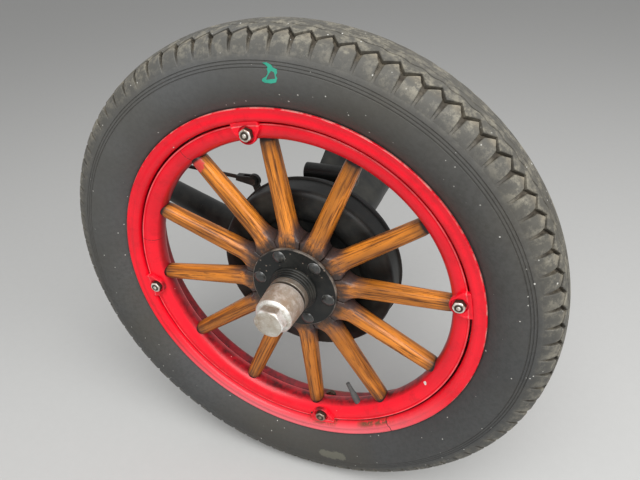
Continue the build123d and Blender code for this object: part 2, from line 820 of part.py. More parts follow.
with BuildPart() as spring_leaves:
    for number in range(leaf_count):
        high = leaf_arc_radius + eye_radius + number * leaf_gauge
        low = high - leaf_gauge
        begin = eye_station + number * leaf_step
        middle = (begin + leaf_end) / 2
        with BuildSketch(Plane(origin=(-leaf_half_width, rim_y, 0), x_dir=(0, 1, 0), z_dir=(1, 0, 0))):
            with BuildLine():
                ThreePointArc(on_arc(begin, low), on_arc(middle, low), on_arc(leaf_end, low))
                Line(on_arc(leaf_end, low), on_arc(leaf_end, high))
                ThreePointArc(on_arc(leaf_end, high), on_arc(middle, high), on_arc(begin, high))
                Line(on_arc(begin, high), on_arc(begin, low))
            make_face()
            if number == 0:
                with Locations((eye_station, eye_height)):
                    Circle(eye_radius)
        extrude(amount=2 * leaf_half_width)
    with BuildSketch(Plane(origin=(-perch_half_length, rim_y, 0), x_dir=(0, 1, 0), z_dir=(1, 0, 0))):
        with Locations((eye_station, eye_height)):
            Circle(eye_bush_radius)
    extrude(amount=2 * perch_half_length)
    with BuildSketch(Plane(origin=(-perch_half_length, rim_y, 0), x_dir=(0, 1, 0), z_dir=(1, 0, 0))):
        with Locations((eye_station, eye_height)):
            Circle(pin_radius + fit_gap)
    extrude(amount=2 * perch_half_length, mode=Mode.SUBTRACT)
finish(spring_leaves.part, "spring_leaves")

# Brake camshaft through the backing plate, with a boss between plate and lever
lever_station = housing_front + lever_standoff
lever_back = lever_station + lever_gauge
with BuildPart() as brake_camshaft:
    with BuildSketch(across(plate_front - cam_front)):
        with Locations((cam_x, cam_z)):
            Circle(cam_radius)
    extrude(amount=-(lever_back + cam_overrun - plate_front + cam_front))
    with BuildSketch(across(housing_front)):
        with Locations((cam_x, cam_z)):
            Circle(cam_radius + cam_boss_wall)
    extrude(amount=-(lever_standoff - seat_gap))
finish(brake_camshaft.part, "brake_camshaft")

with BuildPart() as brake_lever:
    with BuildSketch(across(lever_station)):
        with Locations((cam_x, cam_z), (lever_tip_x, lever_tip_z)):
            Circle(lever_width / 2)
        make_hull()
        with Locations((cam_x, cam_z)):
            Circle(lever_root_radius)
        with Locations((lever_tip_x, lever_tip_z)):
            Circle(lever_tip_radius)
        with Locations((cam_x, cam_z)):
            Circle(cam_radius + fit_gap, mode=Mode.SUBTRACT)
        with Locations((lever_tip_x, lever_tip_z)):
            Circle(clevis_pin_radius + fit_gap, mode=Mode.SUBTRACT)
    extrude(amount=-lever_gauge)
finish(brake_lever.part, "brake_lever")

# Clevis: a fork over the lever's eye, its pin, and the rod that leads forward from it
clevis_front = lever_station - seat_gap - clevis_cheek
clevis_back = lever_back + seat_gap + clevis_cheek
slope = math.radians(clevis_slope)
rod_out = (-math.cos(slope), 0, -math.sin(slope))
fork_plane = Plane(
    origin=(lever_tip_x, rim_y + clevis_front, lever_tip_z),
    x_dir=rod_out,
    z_dir=(0, 1, 0),
)
with BuildPart() as brake_clevis:
    with BuildSketch(fork_plane):
        Circle(clevis_height / 2)
        with BuildLine():
            Polyline(
                (0, -clevis_height / 2),
                (clevis_length, -clevis_neck / 2),
                (clevis_length, clevis_neck / 2),
                (0, clevis_height / 2),
                close=True,
            )
        make_face()
        Circle(clevis_pin_radius + fit_gap, mode=Mode.SUBTRACT)
    extrude(amount=clevis_back - clevis_front)
    with BuildSketch(fork_plane.offset(clevis_cheek)):
        Rectangle(2 * clevis_slot, 2 * clevis_height)
    extrude(amount=lever_gauge + 2 * seat_gap, mode=Mode.SUBTRACT)
finish(brake_clevis.part, "brake_clevis")

with BuildPart() as clevis_pin:
    with BuildSketch(across(clevis_front - clevis_pin_head)):
        with Locations((lever_tip_x, lever_tip_z)):
            Circle(clevis_pin_radius + clevis_pin_head)
    extrude(amount=-clevis_pin_head)
    with BuildSketch(across(clevis_front)):
        with Locations((lever_tip_x, lever_tip_z)):
            Circle(clevis_pin_radius)
    extrude(amount=-(clevis_back - clevis_front + clevis_pin_overrun))
finish(clevis_pin.part, "clevis_pin")

rod_start = (
    lever_tip_x + rod_out[0] * clevis_length,
    rim_y + (clevis_front + clevis_back) / 2,
    lever_tip_z + rod_out[2] * clevis_length,
)
with BuildPart() as brake_rod:
    with BuildSketch(Plane(origin=rod_start, z_dir=rod_out)):
        Circle(rod_radius)
    extrude(amount=rod_length)
finish(brake_rod.part, "brake_rod")

# Radius rod: a flat eye on the housing's ear, a neck, and a tapered tube that leads forward
eye_front = flange_back + ear_gauge
eye_turn = math.atan2(radius_rod_height - eye_z, -radius_rod_reach - eye_x)
neck = Vector(
    eye_x + radius_neck_reach * math.cos(eye_turn),
    rim_y + eye_front + radius_eye_gauge / 2,
    eye_z + radius_neck_reach * math.sin(eye_turn),
)
rod_tip = Vector(-radius_rod_reach, rim_y + radius_rod_station, radius_rod_height)
rod_line = (rod_tip - neck).normalized()
rod_root = neck + rod_line * radius_neck_length
with BuildPart() as radius_rod:
    with BuildSketch(across(eye_front)):
        with Locations((eye_x, eye_z)):
            Circle(ear_radius)
        with Locations(Location((eye_x, eye_z, 0), (0, 0, math.degrees(eye_turn)))):
            with Locations((radius_neck_reach / 2, 0)):
                Rectangle(radius_neck_reach, 2 * ear_radius)
        with Locations((eye_x, eye_z)):
            Circle(radius_bolt_radius + fit_gap, mode=Mode.SUBTRACT)
    extrude(amount=-radius_eye_gauge)
    with BuildSketch(Plane(origin=neck, x_dir=(0, 1, 0), z_dir=rod_line)):
        Rectangle(radius_eye_gauge, 2 * ear_radius)
    with BuildSketch(Plane(origin=rod_root, x_dir=(0, 1, 0), z_dir=rod_line)):
        Circle(radius_rod_root)
    loft()
    with BuildSketch(Plane(origin=rod_root, x_dir=(0, 1, 0), z_dir=rod_line)):
        Circle(radius_rod_root)
    with BuildSketch(Plane(origin=rod_tip, x_dir=(0, 1, 0), z_dir=rod_line)):
        Circle(radius_rod_tip)
    loft()
finish(radius_rod.part, "radius_rod")

with BuildPart() as radius_rod_bolt:
    with BuildSketch(across(flange_back)):
        with Locations((eye_x, eye_z)):
            RegularPolygon(radius_bolt_head_radius, 6)
    extrude(amount=radius_bolt_head)
    with BuildSketch(across(flange_back)):
        with Locations((eye_x, eye_z)):
            Circle(radius_bolt_radius)
    extrude(amount=-(ear_gauge + radius_eye_gauge + radius_nut_height))
    with BuildSketch(across(eye_front + radius_eye_gauge)):
        with Locations((eye_x, eye_z)):
            RegularPolygon(radius_bolt_head_radius, 6)
    extrude(amount=-radius_nut_height)
finish(radius_rod_bolt.part, "radius_rod_bolt")
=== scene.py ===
"""Finished surfaces of a wooden-spoked road wheel and its axle end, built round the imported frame."""

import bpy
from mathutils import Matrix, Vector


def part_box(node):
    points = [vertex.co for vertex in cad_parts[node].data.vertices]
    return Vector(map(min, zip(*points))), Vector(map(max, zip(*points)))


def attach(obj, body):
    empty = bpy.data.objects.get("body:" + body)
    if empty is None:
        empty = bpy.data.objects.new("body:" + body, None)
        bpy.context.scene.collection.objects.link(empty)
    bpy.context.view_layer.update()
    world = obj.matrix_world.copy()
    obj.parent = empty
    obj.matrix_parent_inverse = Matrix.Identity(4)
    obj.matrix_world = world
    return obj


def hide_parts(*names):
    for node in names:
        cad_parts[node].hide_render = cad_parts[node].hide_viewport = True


bl_info = {
    "name": "Wooden-spoked wheel",
    "version": (1, 0, 0),
    "blender": (4, 5, 0),
    "location": "3D View > Sidebar > Wheel",
    "description": "Tyre, rim, spokes, hub, drum and axle end of a wooden-spoked road wheel",
    "category": "Add Mesh",
}

import math
import random

import bmesh
import bpy
from bpy.props import FloatProperty, FloatVectorProperty, IntProperty, PointerProperty
from mathutils import Matrix, Vector

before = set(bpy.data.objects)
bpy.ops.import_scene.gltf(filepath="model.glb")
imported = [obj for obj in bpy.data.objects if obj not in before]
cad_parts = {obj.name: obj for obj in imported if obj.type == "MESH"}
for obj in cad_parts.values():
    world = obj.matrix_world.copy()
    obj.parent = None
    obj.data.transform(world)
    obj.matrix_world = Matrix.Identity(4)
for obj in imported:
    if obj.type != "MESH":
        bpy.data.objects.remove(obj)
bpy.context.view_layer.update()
RIM_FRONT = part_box("rim")[0].y


def outer_end(node):
    """Station of a node's outer end: stations run inboard from the rim's front edge, in metres."""
    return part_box(node)[0].y - RIM_FRONT


def inner_end(node):
    """Station of a node's inboard end."""
    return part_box(node)[1].y - RIM_FRONT


# Stations and radii read from the frame
RIM_WIDTH = inner_end("rim")
RIM_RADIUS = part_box("rim")[1].x
TYRE_RADIUS = -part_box("tyre")[0].z
TYRE_MID = RIM_WIDTH / 2
TYRE_FRONT = TYRE_MID - (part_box("tyre")[1].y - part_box("tyre")[0].y) / 2
FELLOE_FRONT = outer_end("felloe")
FELLOE_BACK = inner_end("felloe")
FELLOE_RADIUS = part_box("felloe")[1].x
PLATE_FACE = outer_end("hub_plate")
PLATE_BACK = inner_end("hub_plate")
PLATE_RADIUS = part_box("hub_plate")[1].z
CAP_END = outer_end("hub_cap")
CAP_ROOT = inner_end("hub_cap")
COLLAR_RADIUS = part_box("hub_collar")[1].x
DRUM_FRONT = outer_end("brake_drum")
DRUM_BACK = inner_end("brake_drum")
DRUM_LIP_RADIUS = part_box("brake_drum")[1].x
LUG_FRONT = outer_end("rim_lugs")
LUG_BACK = inner_end("rim_lugs")
LUG_BOLT_END = outer_end("lug_bolts")
LUG_NUT_FRONT = outer_end("lug_nuts")
HUB_BOLT_BACK = inner_end("hub_bolts")

# Turns about the axis, in degrees from +X towards +Z
WHEEL_TURN = 5.3
SPOKE_COUNT = 12
SPOKE_PITCH = 360.0 / SPOKE_COUNT
HUB_BOLT_TURNS = [WHEEL_TURN - SPOKE_PITCH / 2 + 60.0 * k for k in range(6)]
LUG_TURNS = [WHEEL_TURN + 3.6 + 90.0 * k for k in range(4)]
VALVE_TURN = WHEEL_TURN - 71.3
HEXAGON_TURN = -2.0
SPLIT_TURN = -55.2
TREAD_TURN = 2.35

# Rim's section, with the round of its front corner as (station, radius, size), and the felloe's half round
RIM_SEAT = RIM_RADIUS - 0.0183
RIM_BORE = RIM_RADIUS - 0.0205
RIM_CORNER = (0.00864, RIM_RADIUS - 0.0123, 0.00824)
BEAD_SEAT = RIM_RADIUS - 0.0182
FELLOE_BORE = FELLOE_RADIUS - 0.0258
FELLOE_CORNER = 0.0195

# Bolt circles, bolts and the clamps' nuts
HUB_BOLT_CIRCLE = 0.056
HUB_BOLT_SHANK = 0.0047
CLAMP_CIRCLE = 0.2495
CLAMP_SHANK = 0.0046
POCKET_FLOOR = LUG_FRONT + 0.004
NUT_FLATS = 0.016
NUT_CORNER = 0.00924

# Points round the large and the small turned pieces, round bars and six-sided bars
ROUND = 240
SMALL_ROUND = 144
BAR_ROUND = 24
SIX_SIDED = 60

# Marks on points, which the finishes read
BARE = (0.0, 0.0, 0.0)
WORN = (1.0, 0.0, 0.0)


def length(name, text, default):
    """A size that a user can change."""
    return FloatProperty(name=name, description=text, default=default, unit="LENGTH")


def colour(name, text, default):
    """A colour that a user can change."""
    return FloatVectorProperty(name=name, description=text, default=default, subtype="COLOR")


def angle(name, text, degrees):
    """An angle that a user can change."""
    return FloatProperty(name=name, description=text, default=math.radians(degrees), subtype="ANGLE")


class TyreSettings(bpy.types.PropertyGroup):
    """Sizes and colours of the tyre."""

    blocks: IntProperty(name="Blocks", description="Shoulder blocks round the tyre", default=88, min=12)
    groove: length("Groove", "Depth of the tread grooves", 0.0060)
    stem: length("Stem", "Width of the groove between two blocks where it runs out", 0.0014)
    fork: length("Fork", "Width of the groove between two blocks at their inner ends", 0.0066)
    block_end: length("Block end", "From the crown line to the blocks' inner ends", 0.0290)
    chamfer: length("Chamfer", "Length of the chamfers at the blocks' inner ends", 0.0130)
    fade: length("Fade", "From the crown line to where the grooves run out", 0.0675)
    rubber: colour("Rubber", "Colour of the sidewall", (0.068, 0.069, 0.068))
    dust: colour("Dust", "Colour of the dust on the tread", (0.134, 0.127, 0.107))
    smear: colour("Smear", "Colour of the paint smear on the sidewall", (0.02, 0.25, 0.17))


class WheelSettings(bpy.types.PropertyGroup):
    """Sizes and colours of rim, felloe, clamps and spokes."""

    lip: length("Rim lip", "Radius of the rim's rolled edge", 0.0022)
    bead: length("Felloe bead", "Width of the bead round the felloe's edge", 0.0024)
    neck: length("Neck", "Radius at which the spokes part from each other", 0.078)
    paint: colour("Paint", "Red of the rim and felloe", (0.86, 0.0040, 0.020))
    wood: colour("Wood", "Varnished wood", (0.34, 0.114, 0.013))
    grain: colour("Grain", "Dark streaks of the wood", (0.075, 0.020, 0.005))


class HubSettings(bpy.types.PropertyGroup):
    """Sizes and colours of hub, cap, drum and axle end."""

    bolt_radius: length("Bolt head", "Radius of the hub bolts' round heads", 0.0102)
    cap_radius: length("Cap end", "Radius of the hub cap in front", 0.0285)
    drum_radius: length("Drum", "Outer radius of the brake drum's band", 0.1434)
    black: colour("Black", "Black paint of hub and drum", (0.0085, 0.0095, 0.0092))
    steel: colour("Steel", "Worn steel of the hub cap", (0.44, 0.40, 0.33))
    iron: colour("Iron", "Oily iron of the axle end", (0.030, 0.028, 0.026))


class StageSettings(bpy.types.PropertyGroup):
    """Camera, lamps and floor."""

    azimuth: angle("Azimuth", "Turn of the camera from straight on", 23.28)
    elevation: angle("Elevation", "Height angle of the camera", 31.38)
    roll: angle("Roll", "Tilt of the camera about its view", -3.35)
    lens: FloatProperty(
        name="Lens", description="Focal length on a 36 mm sensor", default=30.855, unit="CAMERA")
    place: FloatVectorProperty(
        name="Place", description="Place of the camera", default=(0.3058, -1.0393, 0.4921),
        subtype="TRANSLATION")
    floor: colour("Floor", "Colour of the floor", (0.52, 0.52, 0.51))
    key: FloatProperty(name="Key", description="Power of the large lamp above", default=108.0, unit="POWER")
    side: FloatProperty(name="Side", description="Power of the lamp at the right", default=30.0, unit="POWER")
    air: FloatProperty(name="Air", description="Strength of the light from all round", default=0.42)


def clipped(value):
    """A number held between 0 and 1."""
    return min(1.0, max(0.0, value))


def shade(tone, factor):
    """A colour made darker or lighter."""
    return [c * factor for c in tone]


def spread(marks, columns):
    """One mark for each point of a row, from one mark for each row."""
    return [[mark] * columns for mark in marks]


def at(turn, radius, station):
    """Point at a turn about the wheel's axis, at a radius and a station."""
    a = math.radians(turn)
    return Vector((radius * math.cos(a), RIM_FRONT + station, radius * math.sin(a)))


def ways(turn):
    """Directions at a turn: out from the axis, and round it."""
    a = math.radians(turn)
    return Vector((math.cos(a), 0, math.sin(a))), Vector((-math.sin(a), 0, math.cos(a)))


def inboard(station):
    """Point on the axis at a station."""
    return Vector((0, RIM_FRONT + station, 0))


def arc(start, through, end, count):
    """Points from start to end on the arc through a third point, all as (station, radius)."""
    (ax, ay), (bx, by), (cx, cy) = start, through, end
    d = 2 * (ax * (by - cy) + bx * (cy - ay) + cx * (ay - by))
    sa, sb, sc = ax * ax + ay * ay, bx * bx + by * by, cx * cx + cy * cy
    ox = (sa * (by - cy) + sb * (cy - ay) + sc * (ay - by)) / d
    oy = (sa * (cx - bx) + sb * (ax - cx) + sc * (bx - ax)) / d
    r = math.hypot(ax - ox, ay - oy)
    first, mid, last = (math.atan2(y - oy, x - ox) for x, y in (start, through, end))
    way = 1.0 if (mid - first) % math.tau < (last - first) % math.tau else -1.0
    sweep = ((last - first) * way) % math.tau * way
    turns = [first + sweep * i / count for i in range(count + 1)]
    return [(ox + r * math.cos(t), oy + r * math.sin(t)) for t in turns]


def joined(*runs):
    """One list of points from several that meet end to end."""
    points = []
    for run in runs:
        points += [p for p in run if not points or math.dist(p, points[-1]) > 1e-6]
    return points


def quarter(station, radius, size, count):
    """Quarter of a circle about a centre, from its front to its inner side."""
    turns = [math.radians(180.0 + 90.0 * i / count) for i in range(count + 1)]
    return [(station + size * math.cos(t), radius + size * math.sin(t)) for t in turns]


def mirrored(points, width):
    """Points in reverse, turned about the middle of a width."""
    return [(width - w, r) for w, r in reversed(points)]


class Shape:
    """Points, faces and a mark on each point, gathered a part at a time for one mesh."""

    def __init__(self):
        self.points = []
        self.faces = []
        self.marks = []

    def grid(self, rows, closed=False, looped=False, marks=None):
        """Adds rows of points, joined by four-sided faces.

        Closed joins each row's ends, and looped joins the last row to the first.
        """
        width = len(rows[0])
        start = len(self.points)
        for i in range(len(rows) - (0 if looped else 1)):
            a, b = start + i * width, start + (i + 1) % len(rows) * width
            for j in range(width - (0 if closed else 1)):
                k = (j + 1) % width
                self.faces.append((a + j, a + k, b + k, b + j))
        self.points += [p for row in rows for p in row]
        self.marks += [mark for row in marks or spread([BARE] * len(rows), width) for mark in row]

    def tube(self, rows, marks=None):
        """Adds rings of points, joined and closed at both ends."""
        columns = len(rows[0])
        first = len(self.points)
        last = first + (len(rows) - 1) * columns
        self.grid(rows, closed=True, marks=marks)
        self.faces.append(tuple(first + j for j in reversed(range(columns))))
        self.faces.append(tuple(last + j for j in range(columns)))

    def turned(self, section, columns, marks=None):
        """Adds a section of (station, radius) turned about the wheel's axis."""
        rows = [[at(360.0 * j / columns, r, w) for j in range(columns)] for w, r in section]
        self.grid(rows, closed=True, looped=True, marks=spread(marks, columns) if marks else None)

    def bar(self, section, turn, radius, columns, spin=0.0, flats=None, marks=None):
        """Adds a closed bar parallel to the axis, its section as (station, own radius).

        A width across flats cuts it to six sides.
        """
        centre = at(turn, radius, 0.0)
        rows = []
        for w, r in section:
            ring = []
            for j in range(columns):
                degrees = 360.0 * j / columns
                side = flats / 2 / math.cos(math.radians(degrees % 60.0 - 30.0)) if flats else r
                t = math.radians(degrees + spin)
                ring.append(Vector((centre.x + min(r, side) * math.cos(t), RIM_FRONT + w,
                                    centre.z + min(r, side) * math.sin(t))))
            rows.append(ring)
        self.tube(rows, marks)


def make(name, shape, body, finish, replaced=(), sharp=32.0, mark=None):
    """Turns a shape into a piece on a body, with its finish."""
    mesh = bpy.data.meshes.new(name)
    mesh.from_pydata([tuple(p) for p in shape.points], [], shape.faces)
    mesh.validate()
    if mark:
        layer = mesh.attributes.new(mark, "FLOAT_VECTOR", "POINT")
        layer.data.foreach_set("vector", [c for m in shape.marks for c in m])
    obj = bpy.data.objects.new(name, mesh)
    bpy.context.scene.collection.objects.link(obj)
    mesh.materials.append(finish)
    fix_normals(mesh)
    mesh.shade_smooth()
    mesh.set_sharp_from_angle(angle=math.radians(sharp))
    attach(obj, body)
    if replaced:
        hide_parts(*replaced)


def fix_normals(mesh):
    """Turns every closed part's faces outward."""
    work = bmesh.new()
    work.from_mesh(mesh)
    bmesh.ops.recalc_face_normals(work, faces=work.faces)
    work.to_mesh(mesh)
    work.free()


class Finish:
    """One material's nodes, with short calls for the kinds that the finishes use."""

    def __init__(self, name, roughness=0.5, metallic=0.0, coat=0.0, coat_roughness=0.08, shine=0.5):
        self.material = bpy.data.materials.new(name)
        self.material.use_nodes = True
        self.tree = self.material.node_tree
        self.shader = self.tree.nodes["Principled BSDF"]
        self.set("Roughness", roughness)
        self.set("Metallic", metallic)
        self.set("Specular IOR Level", shine)
        self.set("Coat Weight", coat)
        self.set("Coat Roughness", coat_roughness)
        self.place = self.make("ShaderNodeTexCoord").outputs["Object"]

    def give(self, socket, value):
        """Links a socket to another's output, or sets its number, vector or colour."""
        if isinstance(value, bpy.types.NodeSocket):
            self.tree.links.new(value, socket)
        else:
            socket.default_value = (*value, 1.0) if socket.type == "RGBA" and len(value) == 3 else value

    def make(self, kind, inputs=None, **settings):
        """Adds a node with its settings and inputs."""
        node = self.tree.nodes.new(kind)
        for key, value in settings.items():
            setattr(node, key, value)
        for key, value in (inputs or {}).items():
            self.give(node.inputs[key], value)
        return node

    def set(self, socket, value):
        """Sets or links one of the shader's own sockets."""
        self.give(self.shader.inputs[socket], value)

    def noise(self, scale, detail=4.0, roughness=0.55, place=None, distortion=0.0):
        """Cloudy values about one half."""
        return self.make("ShaderNodeTexNoise", {
            "Vector": place or self.place, "Scale": scale, "Detail": detail, "Roughness": roughness,
            "Distortion": distortion}).outputs["Fac"]

    def band(self, value, low, high, start=0.0, end=1.0):
        """A value spread from one range onto another and held there."""
        return self.make("ShaderNodeMapRange", {
            "Value": value, "From Min": low, "From Max": high, "To Min": start, "To Max": end}).outputs[0]

    def patches(self, noise, *limits):
        """Cloudy patches: noise of a scale, detail and roughness, cut by a band."""
        return self.band(self.noise(*noise), *limits)

    def spots(self, scale, radius):
        """Round spots: one where the distance to a cell's centre is under its radius."""
        cells = self.make("ShaderNodeTexVoronoi", {"Vector": self.place, "Scale": scale})
        return self.band(cells.outputs["Distance"], radius, radius * 0.6)

    def stretched(self, scale, place=None):
        """A place with its three axes scaled, so that noise on it runs in streaks."""
        return self.make("ShaderNodeMapping", {"Vector": place or self.place, "Scale": scale}).outputs[0]

    def math(self, operation, a, b=0.0):
        """One sum of two values, or of the first alone."""
        return self.make("ShaderNodeMath", {0: a, 1: b}, operation=operation).outputs[0]

    def product(self, first, *others):
        """What masks have in common."""
        for other in others:
            first = self.math("MULTIPLY", first, other)
        return first

    def blend(self, factor, a, b):
        """A colour that goes from one to another."""
        return self.make("ShaderNodeMix", {0: factor, 6: a, 7: b}, data_type="RGBA").outputs[2]

    def layers(self, tone, **coats):
        """A tone under named coats, laid on in order, each a mask and a colour."""
        for mask, coat in coats.values():
            tone = self.blend(mask, tone, coat)
        return tone

    def axes(self, vector=None):
        """The three parts of a vector."""
        return self.make("ShaderNodeSeparateXYZ", {"Vector": vector or self.place}).outputs

    def radius(self):
        """Distance from the wheel's axis."""
        x, _, z = self.axes()
        return self.math("SQRT", self.math("ADD", self.product(x, x), self.product(z, z)))

    def near(self, turn, radius, station, size, ragged=0.6):
        """One within a ragged patch round a point of the wheel, nothing outside it."""
        spot = {0: self.place, 1: at(turn, radius, station)}
        off = self.make("ShaderNodeVectorMath", spot, operation="DISTANCE").outputs["Value"]
        edge = self.product(self.noise(260.0, 3.0, 0.6), size * ragged * 2)
        return self.band(self.math("SUBTRACT", off, edge), size * (1.0 - ragged), size * (0.86 - ragged))

    def line(self, turn, width):
        """One along a straight line out from the wheel's axis at a turn."""
        c, s = math.cos(math.radians(turn)), math.sin(math.radians(turn))
        x, _, z = self.axes()
        off = self.math("SUBTRACT", self.product(x, s), self.product(z, c))
        out = self.math("ADD", self.product(x, c), self.product(z, s))
        close = self.band(self.math("ABSOLUTE", off), width, width * 0.6)
        return self.product(close, self.band(out, 0.0, 0.001))

    def mark(self, name):
        """The parts of the mark that the mesh carries."""
        return self.axes(self.make("ShaderNodeAttribute", attribute_name=name).outputs["Vector"])

    def finished(self, tone, height, distance, strength, roughness=None):
        """Sets colour, bump and, where it varies, roughness, and returns the material."""
        node = self.make("ShaderNodeBump", {"Height": height, "Distance": distance, "Strength": strength})
        self.set("Base Color", tone)
        self.set("Normal", node.outputs["Normal"])
        if roughness:
            self.set("Roughness", roughness)
        return self.material


# Low scuff on the sidewall, as (turn, radius) of its patches
SCUFFS = ((-81.6, 0.3205), (-80.2, 0.3225), (-78.6, 0.3235), (-77.2, 0.3215), (-75.8, 0.3230))


def rubber_finish(tyre):
    """Weathered tyre rubber: grey sidewall with a painted sheen towards the top and painted shade low down,
    dusty blocks, brown grooves and pale specks.
    """
    f = Finish("tyre rubber", roughness=0.66, shine=0.3)
    groove, tread, end = f.mark("tread")
    cloud = f.noise(9.0, 5.0)
    fine = f.noise(160.0, 6.0, 0.7)
    x, _, z = f.axes()
    # Height towards the upper left: the sidewall is painted lighter above as a sheen and darker below as
    # shade
    sun = f.math("SUBTRACT", z, f.product(x, 0.45))
    dust = f.blend(f.patches((70.0, 5.0, 0.75), 0.47, 0.60), shade(tyre.dust, 0.72), (0.245, 0.226, 0.178))
    mud = f.patches((50.0, 4.0, 0.7), 0.48, 0.64, 0.0, 0.7)
    tone = f.layers(
        f.blend(f.band(cloud, 0.32, 0.7), shade(tyre.rubber, 0.94), shade(tyre.rubber, 1.26)),
        pores=(f.band(fine, 0.42, 0.62, 0.0, 0.45), shade(tyre.rubber, 0.55)),
        bleached=(f.band(sun, 0.10, 0.34, 0.0, 0.35), shade(tyre.rubber, 1.9)),
        damp=(f.band(sun, 0.05, -0.26, 0.0, 0.45), shade(tyre.rubber, 0.5)),
        stains=(f.patches((3.2, 3.0), 0.42, 0.66, 0.0, 0.6), (0.062, 0.055, 0.040)),
        dust=(f.product(tread, f.patches((30.0, 6.0, 0.72), 0.36, 0.62, 0.25, 1.0)), dust),
        block_ends=(f.product(end, f.patches((75.0, 5.0, 0.7), 0.38, 0.58, 0.1, 0.9)), (0.29, 0.25, 0.185)),
        grooves=(f.product(groove, f.band(fine, 0.2, 0.6, 0.6, 1.0)),
                 f.blend(mud, (0.042, 0.034, 0.024), (0.15, 0.125, 0.088))),
    )
    for turn, radius in SCUFFS:
        tone = f.blend(f.near(turn, radius, TYRE_FRONT, 0.0085, 0.5), tone, (0.115, 0.113, 0.090))
    specks = f.product(f.spots(72.0, 0.078), f.patches((7.0, 2.0), 0.38, 0.48))
    coarse = f.product(f.spots(30.0, 0.045), f.patches((5.0, 2.0), 0.42, 0.52))
    tone = f.blend(f.math("MAXIMUM", specks, coarse), tone, (0.55, 0.54, 0.50))
    height = f.math("ADD", f.product(fine, 0.5), f.noise(620.0, 3.0))
    return f.finished(tone, height, 0.0004, 0.6, f.band(cloud, 0.3, 0.7, 0.56, 0.72))


def smear_finish(tyre):
    """Brushed-on paint, thin at its edges."""
    f = Finish("green smear", roughness=0.38)
    streak = f.noise(40.0, 5.0, 0.6, f.stretched((1.0, 1.0, 0.25)))
    thin = [c * 1.7 + 0.02 for c in tyre.smear]
    return f.finished(f.blend(f.band(streak, 0.3, 0.75), tyre.smear, thin), streak, 0.0005, 0.5)


# Marks in the red paint, as (turn, radius, station, size, colour)
PAINT_MARKS = (
    (-31.1, 0.2416, 0.0140, 0.0030, (0.72, 0.66, 0.62)),
    (125.5, 0.2680, 0.0030, 0.0013, (0.72, 0.66, 0.62)),
    (LUG_TURNS[3] + 5.2, 0.2620, 0.0085, 0.0030, (0.10, 0.03, 0.02)),
    (LUG_TURNS[3] - 4.4, 0.2560, 0.0084, 0.0036, (0.06, 0.02, 0.018)),
)


